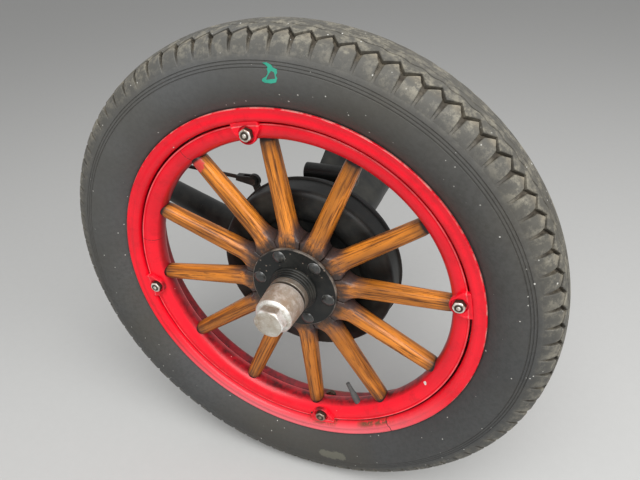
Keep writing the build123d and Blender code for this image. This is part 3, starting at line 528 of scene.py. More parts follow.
def red_finish(wheel):
    """Gloss red paint over steel: brushed a little uneven, chipped, dirty low down and inside the felloe,
    with painted shade inside the felloe and behind it, a painted sky reflection on the lower rim, a painted
    highlight on the felloe's bead and painted shade in the gap between felloe and rim.
    """
    f = Finish("red paint", roughness=0.34, coat=0.12, coat_roughness=0.12, shine=0.32)
    cloud = f.noise(14.0, 4.0)
    side, depth, height = f.axes()
    out = f.radius()
    low = f.band(height, 0.06, -0.20)
    hollow = f.product(f.band(depth, RIM_FRONT + FELLOE_BACK - 0.002, RIM_FRONT + FELLOE_BACK),
                       f.band(out, RIM_BORE + 0.003, RIM_BORE + 0.001))
    inside = f.math("MAXIMUM", f.band(out, 0.2400, 0.2362), hollow)
    grime = f.product(inside, f.band(low, 0.0, 1.0, 0.15, 1.0),
                      f.patches((55.0, 6.0, 0.7), 0.42, 0.62, 0.05, 0.9))
    # Painted sky reflection: the rim's face made lighter and pinker low down
    film = f.product(f.band(out, 0.262, 0.272), f.band(height, -0.13, -0.26, 0.0, 0.42))
    dust = f.product(f.patches((70.0, 6.0, 0.75), 0.58, 0.74), f.band(low, 0.2, 1.0, 0.06, 0.4))
    tone = f.layers(
        f.blend(f.band(cloud, 0.34, 0.66), shade(wheel.paint, 0.84), wheel.paint),
        brushing=(f.patches((42.0, 6.0, 0.72), 0.52, 0.70, 0.0, 0.5), (0.50, 0.004, 0.012)),
        # Painted shade: the felloe's inside and the rim's back behind it made a darker red
        dull=(f.product(inside, 0.75), (0.24, 0.010, 0.016)),
        grime=(grime, (0.035, 0.009, 0.010)),
        film=(film, (0.80, 0.30, 0.34)),
        dust=(dust, (0.34, 0.07, 0.07)),
        specks=(f.product(f.spots(120.0, 0.06), f.patches((16.0, 3.0), 0.52, 0.64)), (0.06, 0.012, 0.012)),
        chips=(f.product(f.spots(52.0, 0.045), f.patches((11.0, 2.0), 0.57, 0.66)), (0.80, 0.46, 0.42)),
    )
    for turn, radius, station, size, mark in PAINT_MARKS:
        tone = f.blend(f.near(turn, radius, station, size), tone, mark)
    cracks = f.math("MAXIMUM", f.line(125.7, 0.0006), f.line(169.0, 0.0006))
    cracks = f.product(cracks, f.band(out, 0.2618, 0.2612), f.patches((220.0, 3.0), 0.36, 0.46))
    ring = f.product(f.band(out, 0.2642, 0.2648), f.band(out, 0.2720, 0.2668))
    along = f.math("MAXIMUM", f.line(SPLIT_TURN - 4.5, 0.040), f.product(f.line(LUG_TURNS[3], 0.032), 0.8))
    rubbed = f.product(f.band(out, RIM_RADIUS - 0.0017, RIM_RADIUS - 0.0008),
                       f.patches((48.0, 5.0, 0.65), 0.45, 0.6))
    # Painted highlight: a thin light line along the felloe's bead
    crest = f.product(f.band(out, FELLOE_RADIUS - 0.0024, FELLOE_RADIUS - 0.0016),
                      f.band(out, FELLOE_RADIUS - 0.0003, FELLOE_RADIUS - 0.0009))
    gap = f.product(f.band(out, FELLOE_RADIUS - 0.0006, FELLOE_RADIUS - 0.0001), f.band(out, 0.2650, 0.2647))
    deep = f.product(f.band(depth, RIM_FRONT + 0.0105, RIM_FRONT + 0.014),
                     f.band(depth, RIM_FRONT + FELLOE_BACK + 0.0004, RIM_FRONT + FELLOE_BACK + 0.0002))
    tone = f.layers(
        tone,
        cracks=(cracks, (0.20, 0.012, 0.014)),
        scabs=(f.product(ring, along, f.patches((85.0, 5.0, 0.7), 0.43, 0.53)), (0.17, 0.062, 0.032)),
        rubbed=(f.product(rubbed, 0.7), (0.80, 0.42, 0.36)),
        # Painted highlight on the felloe's bead
        crest=(f.product(crest, f.patches((40.0, 5.0, 0.65), 0.38, 0.56, 0.15, 0.65)), (0.86, 0.24, 0.24)),
        # Painted shade in the gap between felloe and rim, weaker on the left side
        behind=(f.product(gap, deep, f.band(side, -0.12, 0.06, 0.55, 1.0)), (0.022, 0.008, 0.008)),
        split=(f.product(f.line(SPLIT_TURN, 0.0008), f.band(out, 0.2640, 0.2646)), (0.05, 0.012, 0.012)),
    )
    height = f.math("ADD", f.noise(60.0, 3.0), f.product(f.noise(260.0, 4.0), 0.35))
    return f.finished(tone, height, 0.0005, 0.35, f.band(cloud, 0.3, 0.75, 0.28, 0.44))


def spoke_flank(f, out, mottled):
    """One on the spokes' flanks near the hub, where grease has crept off their fronts' edges and painted
    shade darkens the mitres.
    """
    x, _, z = f.axes()
    turn = f.math("SUBTRACT", f.math("ARCTAN2", z, x), math.radians(WHEEL_TURN))
    half = math.radians(SPOKE_PITCH / 2)
    off = f.make("ShaderNodeMath", {0: turn, 1: half, 2: -half}, operation="WRAP").outputs[0]
    aside = f.math("ABSOLUTE", f.product(out, f.math("SINE", off)))
    ragged = f.math("ADD", aside, f.product(mottled, 0.006))
    return f.product(f.band(ragged, 0.0134, 0.0172), f.band(out, 0.120, 0.094))


def wood_finish(wheel):
    """Varnished wood: long dark streaks, open pores, greasy with painted shade at the mitres, darker towards
    the bottom, soiled with painted shade at both ends and a painted contact shadow where the spokes end in
    the felloe.
    """
    f = Finish("varnished wood", roughness=0.36, coat=0.22, coat_roughness=0.16, shine=0.25)
    local = f.make("ShaderNodeAttribute", attribute_name="grain").outputs["Vector"]
    drift = f.noise(1.0, 3.0, 0.5, f.stretched((7.0, 30.0, 30.0), local))
    streak = f.noise(1.0, 5.0, 0.62, f.stretched((6.0, 210.0, 210.0), local), 0.6)
    thread = f.noise(1.0, 4.0, 0.7, f.stretched((16.0, 430.0, 430.0), local), 0.4)
    pores = f.noise(1.0, 2.0, 0.6, f.stretched((60.0, 900.0, 900.0), local))
    mottled = f.noise(60.0, 5.0, 0.7)
    out = f.radius()
    amber = [min(1.0, c * 2.5) for c in wheel.wood]
    ends = f.math("MAXIMUM", f.band(out, 0.088, 0.0765), f.band(out, 0.216, 0.2375))
    grease = f.product(f.band(out, 0.116, 0.076), f.band(mottled, 0.36, 0.60, 0.08, 0.85))
    tone = f.layers(
        f.blend(f.band(drift, 0.33, 0.64), wheel.wood, amber),
        # Darker towards the bottom
        browned=(f.band(f.axes()[2], 0.03, -0.13, 0.0, 0.5), (0.30, 0.094, 0.013)),
        streaks=(f.band(streak, 0.48, 0.61, 0.0, 0.74), wheel.grain),
        threads=(f.band(thread, 0.54, 0.63, 0.0, 0.8), shade(wheel.grain, 0.5)),
        pores=(f.band(pores, 0.64, 0.76, 0.0, 0.8), (0.016, 0.007, 0.004)),
        grease=(grease, (0.088, 0.058, 0.052)),
        # Grease and painted shade on the flanks near the hub
        flanks=(f.product(spoke_flank(f, out, mottled), 0.92), (0.052, 0.039, 0.041)),
        # Soil and painted shade at both ends of the spokes
        soil=(f.product(ends, f.patches((75.0, 5.0, 0.7), 0.3, 0.6, 0.4, 1.0), 0.92), (0.026, 0.019, 0.015)),
        red_spot=(f.near(WHEEL_TURN + 120.5, 0.2310, 0.0200, 0.0130, 0.4), (0.55, 0.045, 0.035)),
        # Painted contact shadow where the spokes meet the felloe
        foot=(f.band(out, 0.2325, 0.2360), (0.012, 0.007, 0.006)),
    )
    height = f.math("SUBTRACT", f.product(streak, 0.6), f.band(thread, 0.5, 0.8))
    return f.finished(tone, height, 0.0007, 0.6, f.band(streak, 0.3, 0.7, 0.30, 0.46))


def black_finish(hub, name, dust):
    """Black paint on iron, dusty and chipped to grey in small spots."""
    f = Finish(name, roughness=0.44, shine=0.3)
    cloud = f.noise(18.0, 5.0, 0.6)
    tone = f.layers(
        hub.black,
        dust=(f.band(cloud, 0.44, 0.78, 0.0, dust), (0.062, 0.060, 0.050)),
        chips=(f.product(f.spots(150.0, 0.085), f.patches((24.0, 2.0), 0.52, 0.62)), (0.13, 0.12, 0.10)),
    )
    return f.finished(tone, f.noise(230.0, 5.0, 0.65), 0.0004, 0.4, f.band(cloud, 0.3, 0.7, 0.34, 0.58))


def plate_finish(hub):
    """Black paint of the hub plate, with brown chips and an edge worn to a thin light line."""
    f = Finish("plate paint", roughness=0.42, shine=0.3)
    cloud = f.noise(24.0, 5.0, 0.6)
    chips = f.product(f.spots(110.0, 0.17), f.patches((30.0, 2.0), 0.47, 0.53))
    edge = f.band(f.radius(), PLATE_RADIUS - 0.0019, PLATE_RADIUS - 0.0009)
    tone = f.layers(
        hub.black,
        dust=(f.band(cloud, 0.5, 0.8, 0.0, 0.5), (0.055, 0.052, 0.044)),
        chips=(chips, (0.19, 0.15, 0.12)),
        edge=(f.product(edge, f.patches((34.0, 4.0), 0.42, 0.58, 0.1, 0.8)), (0.24, 0.20, 0.165)),
    )
    height = f.math("SUBTRACT", f.noise(230.0, 5.0, 0.65), f.product(chips, 0.8))
    return f.finished(tone, height, 0.0004, 0.45, f.band(cloud, 0.3, 0.7, 0.34, 0.52))


def bolt_finish():
    """Black paint of the bolt heads, glossy and rubbed grey round their edges."""
    f = Finish("bolt paint", roughness=0.30, shine=0.8)
    rim, _, _ = f.mark("wear")
    tone = f.layers(
        (0.016, 0.017, 0.016),
        dust=(f.patches((160.0, 5.0, 0.7), 0.50, 0.66, 0.0, 0.55), (0.075, 0.074, 0.066)),
        worn=(f.product(rim, f.patches((70.0, 4.0, 0.6), 0.42, 0.55, 0.1, 0.8)), (0.15, 0.15, 0.14)),
    )
    return f.finished(tone, f.noise(200.0, 4.0, 0.65), 0.0004, 0.4)


def steel_finish(hub):
    """Worn steel of the cap: brown stain, bright wear where the mesh marks it and fine turning marks."""
    f = Finish("worn steel", roughness=0.38, metallic=0.55)
    wear, groove, _ = f.mark("wear")
    stain = f.noise(30.0, 6.0, 0.72)
    lines = f.noise(1.0, 3.0, 0.6, f.stretched((18.0, 900.0, 18.0)))
    rubbed = f.product(f.patches((75.0, 5.0, 0.7), 0.40, 0.55, 0.30, 1.0),
                       f.patches((26.0, 3.0), 0.40, 0.54, 0.45, 1.0))
    tone = f.layers(
        hub.steel,
        stains=(f.band(stain, 0.42, 0.62), (0.33, 0.25, 0.175)),
        scuffs=(f.patches((85.0, 5.0, 0.7), 0.50, 0.64, 0.0, 0.75), (0.62, 0.59, 0.53)),
        bright=(f.product(wear, rubbed), (0.78, 0.78, 0.75)),
        grooves=(groove, (0.045, 0.036, 0.028)),
    )
    height = f.math("ADD", lines, f.product(f.noise(300.0, 4.0, 0.7), 0.9))
    return f.finished(tone, height, 0.0003, 0.45, f.band(stain, 0.3, 0.7, 0.34, 0.58))


def iron_finish(hub):
    """Bare or oily iron with dust and a little rust."""
    f = Finish("oily iron", roughness=0.5, metallic=0.25, shine=0.35)
    cloud = f.noise(32.0, 6.0, 0.7)
    tone = f.layers(
        hub.iron,
        rust=(f.band(cloud, 0.4, 0.7, 0.0, 0.4), (0.11, 0.062, 0.036)),
        dust=(f.patches((90.0, 4.0), 0.52, 0.7, 0.0, 0.5), (0.15, 0.135, 0.115)),
    )
    return f.finished(tone, f.noise(180.0, 5.0, 0.7), 0.0005, 0.5, f.band(cloud, 0.3, 0.7, 0.4, 0.68))


def nut_finish():
    """Zinc-grey clamp nuts, bright in front and dark towards the plate with painted pocket shadow, the bolts'
    tips bright with a painted highlight, the lowest rusty.
    """
    f = Finish("clamp nuts", roughness=0.36, metallic=0.6)
    _, depth, height = f.axes()
    face, _, _ = f.mark("wear")
    front = RIM_FRONT + LUG_NUT_FRONT
    stain = f.noise(140.0, 5.0, 0.7)
    zinc = f.layers(
        (0.80, 0.78, 0.72),
        stains=(f.band(stain, 0.42, 0.64), (0.30, 0.22, 0.15)),
        rust=(f.band(height, -0.15, -0.22, 0.0, 0.8), (0.20, 0.12, 0.075)),
    )
    # Zinc shows in front only: the nuts' sides towards the plate and their drilled faces take the dark colour
    # as painted pocket shadow, and the bolts' marked tips are a painted highlight
    clean = f.product(face, f.band(depth, front + 0.0024, front + 0.0008))
    tone = f.blend(clean, (0.075, 0.052, 0.038), zinc)
    return f.finished(tone, stain, 0.0003, 0.4, f.band(stain, 0.3, 0.7, 0.28, 0.6))


def tyre_section():
    """Half of the tyre's outside from crown to bead, as (run, station, radius), its run being a length."""
    heel = (0.0049, RIM_RADIUS + 0.0001)
    widest = (TYRE_FRONT, 0.329)
    shoulder = (TYRE_FRONT + 0.0085, TYRE_RADIUS - 0.0175)
    edge = (TYRE_MID - 0.033, TYRE_RADIUS - 0.0055)
    crown = (TYRE_MID, TYRE_RADIUS)
    lower = (widest[1] + heel[1]) / 2
    upper = (widest[1] + shoulder[1]) / 2
    points = joined(
        arc((2 * TYRE_MID - edge[0], edge[1]), crown, edge, 24)[12:],
        arc(edge, (TYRE_FRONT + 0.0154, TYRE_RADIUS - 0.0096), shoulder, 14),
        arc(shoulder, (TYRE_FRONT + 0.0022, upper), widest, 12),
        arc(widest, (TYRE_FRONT + 0.0046, lower), heel, 14),
    )
    for _ in range(6):
        points[1:-1] = [((a[0] + 2 * b[0] + c[0]) / 4, (a[1] + 2 * b[1] + c[1]) / 4)
                        for a, b, c in zip(points, points[1:], points[2:])]
    run = 0.0
    section = []
    for i, point in enumerate(points):
        run += math.dist(point, points[i - 1]) if i else 0.0
        section.append((run, point[0], point[1]))
    return section


SECTION = tyre_section()


def on_tyre(run, depth=0.0):
    """(station, radius) on the tyre's outside: run from the crown, negative inboard, and a depth below it."""
    far = min(abs(run), SECTION[-1][0])
    i = 1
    while SECTION[i][0] < far and i < len(SECTION) - 1:
        i += 1
    (r0, w0, h0), (r1, w1, h1) = SECTION[i - 1], SECTION[i]
    step = r1 - r0
    t = (far - r0) / step
    w = w0 + (w1 - w0) * t - (h1 - h0) / step * depth
    h = h0 + (h1 - h0) * t + (w1 - w0) / step * depth
    return (w if run >= 0 else 2 * TYRE_MID - w, h)


def run_at_radius(radius):
    """Run along the section to a radius on the sidewall above its widest place."""
    for (r0, _, h0), (r1, _, h1) in zip(SECTION, SECTION[1:]):
        if h1 <= radius <= h0:
            return r0 + (r1 - r0) * (h0 - radius) / (h0 - h1)
    return SECTION[-1][0]


def groove_depth(tyre, run):
    """Depth of the carcass below the blocks' tops: full over the tread, run out down the shoulder."""
    start = tyre.fade - 0.022
    return tyre.groove * (1.0 - clipped((abs(run) - start) / (tyre.fade - start)))


def tread_mark(tyre, run):
    """One on the tread, run out to nothing on the sidewall."""
    return clipped((tyre.fade + 0.006 - run) / 0.026)


def add_carcass(shape, tyre):
    """Adds the casing: groove floor, sidewalls with three fine rings, beads and the inside."""
    step = 0.0035
    crest, foot, depth_of_line = 0.0004, 0.0010, 0.0009
    runs = [step * i for i in range(int(tyre.fade / step))] + [tyre.fade, tyre.fade + 0.004]
    rings = [run_at_radius(r) for r in (0.3450, 0.3412, 0.3374)]
    for ring in rings:
        runs += [ring - foot, ring - crest, ring + crest, ring + foot]
    last = SECTION[-1][0]
    runs += [rings[-1] + 0.006 + (last - 0.012 - rings[-1]) * i / 11 for i in range(12)]
    half = []
    for run in sorted(r for r in set(runs) if r < last) + [last]:
        line = any(abs(run - ring) < (crest + foot) / 2 for ring in rings)
        half.append((run, groove_depth(tyre, run) + (depth_of_line if line else 0.0)))
    outward = list(reversed(half))
    outside = [on_tyre(run, depth) for run, depth in outward]
    outside += [on_tyre(-run, depth) for run, depth in half[1:]]
    marks = [(clipped(depth / tyre.groove), tread_mark(tyre, run), 0.0) for run, depth in outward + half[1:]]
    heel, corner, toe = 0.0051, 0.0071, 0.0176
    bead = [(heel, BEAD_SEAT + 0.002), (corner, BEAD_SEAT), (toe, BEAD_SEAT)]
    inside = arc((RIM_WIDTH - toe + 0.0015, RIM_RADIUS + 0.003), (TYRE_MID, TYRE_RADIUS - 0.017),
                 (toe - 0.0015, RIM_RADIUS + 0.003), 14)
    rest = [(RIM_WIDTH - w, r) for w, r in bead] + inside + bead[::-1]
    shape.turned(outside + rest, ROUND, marks + [BARE] * len(rest))


# Outline of a block's inner end over one pitch: phase, and share of the chamfer from the end's foremost point
BLOCK_END = ((0.0, 1.0), (0.59, 0.0), (0.885, 0.79), (1.0, 1.0))
FOREMOST, KINK = BLOCK_END[1][0], BLOCK_END[2][0]

# Half width of the foremost point in phase, and how far blocks and ribs go into the grooves' floor
POINT = 0.03
SINK = 0.0006


def block_end(tyre, phase):
    """Run of the blocks' inner ends at a phase of the pitch, 0 and 1 being the grooves between two blocks."""
    for (p0, c0), (p1, c1) in zip(BLOCK_END, BLOCK_END[1:]):
        if phase <= p1:
            return tyre.block_end + tyre.chamfer * (c0 + (c1 - c0) * (phase - p0) / (p1 - p0))
    return tyre.block_end + tyre.chamfer


def add_block(shape, tyre, side, start, sunk):
    """Adds one shoulder block from a turn on: slanted inner end, wide fork, run out on the sidewall."""
    pitch = 360.0 / tyre.blocks
    bevel, worn_end = 0.0011, 0.0011
    rest = tyre.fade - tyre.block_end
    kink, full = BLOCK_END[2][1] * tyre.chamfer, tyre.chamfer
    alongs = [0.0, 0.0, bevel, kink * 0.55, kink, (kink + full) / 2, full, full + 0.004]
    alongs += [full + 0.004 + (rest - full - 0.004) * i / 9 for i in range(1, 10)]
    rows, marks = [], []
    for number, along in enumerate(alongs):
        run = tyre.block_end + along
        per_length = tyre.blocks / (math.tau * on_tyre(run)[1])
        wide = (tyre.fork - tyre.stem) * max(0.0, 1.0 - max(0.0, along - full) / (rest - full))
        stem = (tyre.stem + wide) * per_length
        soft = bevel * per_length
        t = min(1.0, along / full)
        near = FOREMOST - POINT - (FOREMOST - POINT - stem / 2) * t
        inner = KINK - stem * 0.4
        if along <= kink:
            far = FOREMOST + POINT + (inner - FOREMOST - POINT) * along / kink
        else:
            far = inner + (1.0 - stem / 2 - inner) * min(1.0, (along - kink) / (full - kink))
        floor = groove_depth(tyre, run) + SINK
        lost = sunk * (1.0 - along / rest) + worn_end * max(0.0, 1.0 - along / (full * 1.15))
        mid = near + (far - near) * 0.5
        edge = bevel * 0.9 + lost
        top = [(near, floor), (near + soft * 0.2, edge), (near + soft, lost), (mid - 0.1 * t, lost),
               (mid + 0.1 * t, lost), (far - soft, lost), (far - soft * 0.2, edge), (far, floor)]
        if number == 0:
            top = [(a, floor) for a, _ in top]
        elif number == 1:
            top = [(a, max(d, bevel * 0.8 + lost)) for a, d in top]
        elif number == len(alongs) - 1:
            top = [(a, 0.00015) for a, _ in top]
        row, mark = [], []
        for phase, depth in top:
            w, r = on_tyre(side * run, depth)
            row.append(at(start - side * phase * pitch, r, w))
            mark.append((clipped((depth - lost) / tyre.groove) ** 0.7, tread_mark(tyre, run),
                         clipped(1.0 - along / (full * 1.2))))
        rows.append(row)
        marks.append(mark)
    shape.grid(rows, marks=marks)


def add_rib(shape, tyre, way, shift, inner, outer):
    """Adds one rib round the tread between two edges, each a run that changes with the phase of the pitch."""
    bevel = 0.0009
    floor = tyre.groove + SINK
    pitch = 360.0 / tyre.blocks
    rows, marks = [], []
    for k in range(tyre.blocks):
        for phase in (0.0, 0.15, 0.30, 0.45, 0.59, 0.74, 0.885, 0.95)[::-way]:
            a, b = inner(phase), outer(phase)
            line = [(a, floor), (a, bevel * 0.8), (a + bevel, 0.0), ((a + b) / 2, 0.0), (b - bevel, 0.0),
                    (b, bevel * 0.8), (b, floor)]
            turn = TREAD_TURN + (k + shift - way * phase) * pitch
            places = [on_tyre(run, depth) for run, depth in line]
            rows.append([at(turn, r, w) for w, r in places])
            marks.append([(min(1.0, depth / tyre.groove) ** 0.7, 1.0, 0.0) for _, depth in line])
    shape.grid(rows, looped=True, marks=marks)


class WHEEL_OT_tyre(bpy.types.Operator):
    """Tyre with its sidewall rings, shoulder blocks and centre ribs"""

    bl_idname = "wheel.tyre"
    bl_label = "Tyre"

    def execute(self, context):
        tyre = context.scene.wheel_tyre
        shape = Shape()
        add_carcass(shape, tyre)
        rng = random.Random(7)
        pitch = 360.0 / tyre.blocks
        for side, shift in ((1, 0.0), (-1, 0.5)):
            for k in range(tyre.blocks):
                add_block(shape, tyre, side, TREAD_TURN + (k + shift) * pitch, rng.uniform(0.0, 0.0006))
        self.add_ribs(shape, tyre)
        make("tyre_with_tread", shape, "wheel", rubber_finish(tyre), ("tyre",), mark="tread")
        return {"FINISHED"}

    def add_ribs(self, shape, tyre):
        """Adds the rib in the middle and two more on each side, the outermost following the blocks' ends."""
        gap = 0.0044

        def ripple(phase):
            return 0.0011 * math.cos(math.tau * phase)

        add_rib(shape, tyre, 1, 0.0, lambda p: -0.0056 + ripple(p), lambda p: 0.0056 + ripple(p))
        add_rib(shape, tyre, 1, 0.0, lambda p: 0.0074 + ripple(p), lambda p: 0.0160 + 1.5 * ripple(p))
        add_rib(shape, tyre, 1, 0.0, lambda p: 0.0178 + 1.5 * ripple(p), lambda p: block_end(tyre, p) - gap)
        add_rib(shape, tyre, -1, 0.5, lambda p: -0.0160 - 1.5 * ripple(p), lambda p: -0.0074 - ripple(p))
        add_rib(shape, tyre, -1, 0.5, lambda p: gap - block_end(tyre, p), lambda p: -0.0178 - 1.5 * ripple(p))


class WHEEL_OT_rim(bpy.types.Operator):
    """Steel rim with rolled lips, and the felloe inside it"""

    bl_idname = "wheel.rim"
    bl_label = "Rim and felloe"

    def execute(self, context):
        wheel = context.scene.wheel_wheel
        paint = red_finish(wheel)
        for name, section, node in (("painted_rim", self.rim(wheel.lip), "rim"),
                                    ("painted_felloe", self.felloe(wheel.bead), "felloe")):
            shape = Shape()
            shape.turned(section, ROUND)
            make(name, shape, "wheel", paint, (node,), sharp=40.0)
        return {"FINISHED"}

    def rim(self, lip):
        """Section of the rim: seat, flange with a rolled lip, round corner and bore, and the same behind."""
        edge = RIM_RADIUS
        front = joined(
            [(TYRE_MID, RIM_SEAT), (0.0085, RIM_SEAT)],
            [(0.0063, RIM_SEAT + 0.0008), (0.0050, RIM_SEAT + 0.0032), (2 * lip, edge - lip * 1.1)],
            arc((2 * lip, edge - lip), (lip, edge), (0.0, edge - lip), 8),
            arc((0.0001, edge - lip * 1.6), (0.0011, edge - 0.0078), (0.0004, edge - 0.0118), 6),
            quarter(*RIM_CORNER, 12),
            [(0.0095, RIM_BORE), (TYRE_MID, RIM_BORE)],
        )
        return joined(front, mirrored(front, RIM_WIDTH)[1:-1])

    def felloe(self, bead):
        """Section of the felloe: half-round channel with a bead in front, its back edge out to the rim."""
        gauge = 0.0032
        face, edge = FELLOE_FRONT, FELLOE_RADIUS
        outside = quarter(face + FELLOE_CORNER, FELLOE_BORE + FELLOE_CORNER, FELLOE_CORNER, 14)
        inside = quarter(face + FELLOE_CORNER, FELLOE_BORE + FELLOE_CORNER, FELLOE_CORNER - gauge, 14)
        width = FELLOE_FRONT + FELLOE_BACK
        back = RIM_BORE - 0.0002
        return joined(
            [(face + gauge, edge - 0.0003), (face + 0.0022, edge)],
            arc((face + 0.0014, edge), (face + 0.0002, edge - bead * 0.4), (face + 0.0006, edge - bead), 6),
            [(face + 0.0011, edge - bead - 0.0006), (face + 0.0006, edge - bead - 0.0016)],
            outside,
            mirrored(outside, width),
            [(FELLOE_BACK, back), (FELLOE_BACK - gauge, back), (FELLOE_BACK - gauge, edge)],
            [(width - w, r) for w, r in inside],
            reversed(inside),
        )


def felloe_surface(station):
    """Radius of the felloe's inner surface at a station."""
    off = min(FELLOE_CORNER, abs(station - (FELLOE_FRONT + FELLOE_BACK) / 2) - 0.0005)
    return FELLOE_BORE + FELLOE_CORNER - math.sqrt(FELLOE_CORNER ** 2 - max(0.0, off) ** 2)


# Spokes: half depth, squareness and mitre gap of the root, length of the flare, radii where the taper starts
# and where the shaft ends, and radii of the rings of points
ROOT_DEPTH, ROOT_SQUARE, MITRE_GAP = 0.0174, 14.0, 0.0002
FLARE, TAPER_START, SPOKE_END = 0.026, 0.100, 0.236
SPOKE_RADII = (0.0385, 0.055, 0.070, 0.078, 0.080, 0.083, 0.087, 0.092, 0.098, 0.106, 0.120, 0.140, 0.160,
               0.180, 0.200, 0.214, 0.222, 0.227, 0.230, 0.233, SPOKE_END)


def spoke_ring(out, neck):
    """(half width, half depth, station, squareness) of a spoke at a distance from the axis."""
    root_width = min(out, neck) * math.tan(math.radians(SPOKE_PITCH / 2)) - MITRE_GAP
    flare = 1.0 - (1.0 - clipped((out - neck) / FLARE)) ** 2.8
    taper = clipped((out - TAPER_START) / (SPOKE_END - TAPER_START))
    width = 0.0145 - 0.00275 * taper
    depth = 0.0155 - 0.0025 * taper
    station = 0.0415 - 0.0115 * clipped((out - neck) / (SPOKE_END - neck))
    return (root_width + (width - root_width) * flare, ROOT_DEPTH + (depth - ROOT_DEPTH) * flare, station,
            ROOT_SQUARE - 11.75 * flare ** 0.35)


def add_spoke(shape, wheel, number, rng):
    """Adds one spoke: mitred root, flare, and an oval shaft that tapers and ends on the felloe's round."""
    out_way, side_way = ways(WHEEL_TURN + number * SPOKE_PITCH)
    columns = 36
    offset = rng.uniform(0.0, 50.0)
    rows, marks = [], []
    for out in SPOKE_RADII:
        width, depth, station, square = spoke_ring(out, wheel.neck)
        pinch = max(0.0, (out - 0.228) / 0.008) ** 2 * 0.0011
        follow = max(0.0, (out - 0.200) / 0.036) ** 2
        row, mark = [], []
        for j in range(columns):
            t = math.tau * (j + 0.5) / columns
            c, s = math.cos(t), math.sin(t)
            x = math.copysign(abs(c) ** (2 / square), c) * (width - pinch)
            y = math.copysign(abs(s) ** (2 / square), s) * (depth - pinch)
            end = math.sqrt(felloe_surface(station + y) ** 2 - x * x) + 0.0008
            row.append(out_way * (out + (end - SPOKE_END) * follow) + side_way * x + inboard(station + y))
            mark.append((out + offset, x + offset, y + offset))
        rows.append(row)
        marks.append(mark)
    shape.tube(rows, marks)


class WHEEL_OT_spokes(bpy.types.Operator):
    """Twelve varnished wooden spokes"""

    bl_idname = "wheel.spokes"
    bl_label = "Spokes"

    def execute(self, context):
        wheel = context.scene.wheel_wheel
        shape = Shape()
        rng = random.Random(11)
        for number in range(SPOKE_COUNT):
            add_spoke(shape, wheel, number, rng)
        make("varnished_spokes", shape, "wheel", wood_finish(wheel), ("spokes",), sharp=50.0,
             mark="grain")
        return {"FINISHED"}


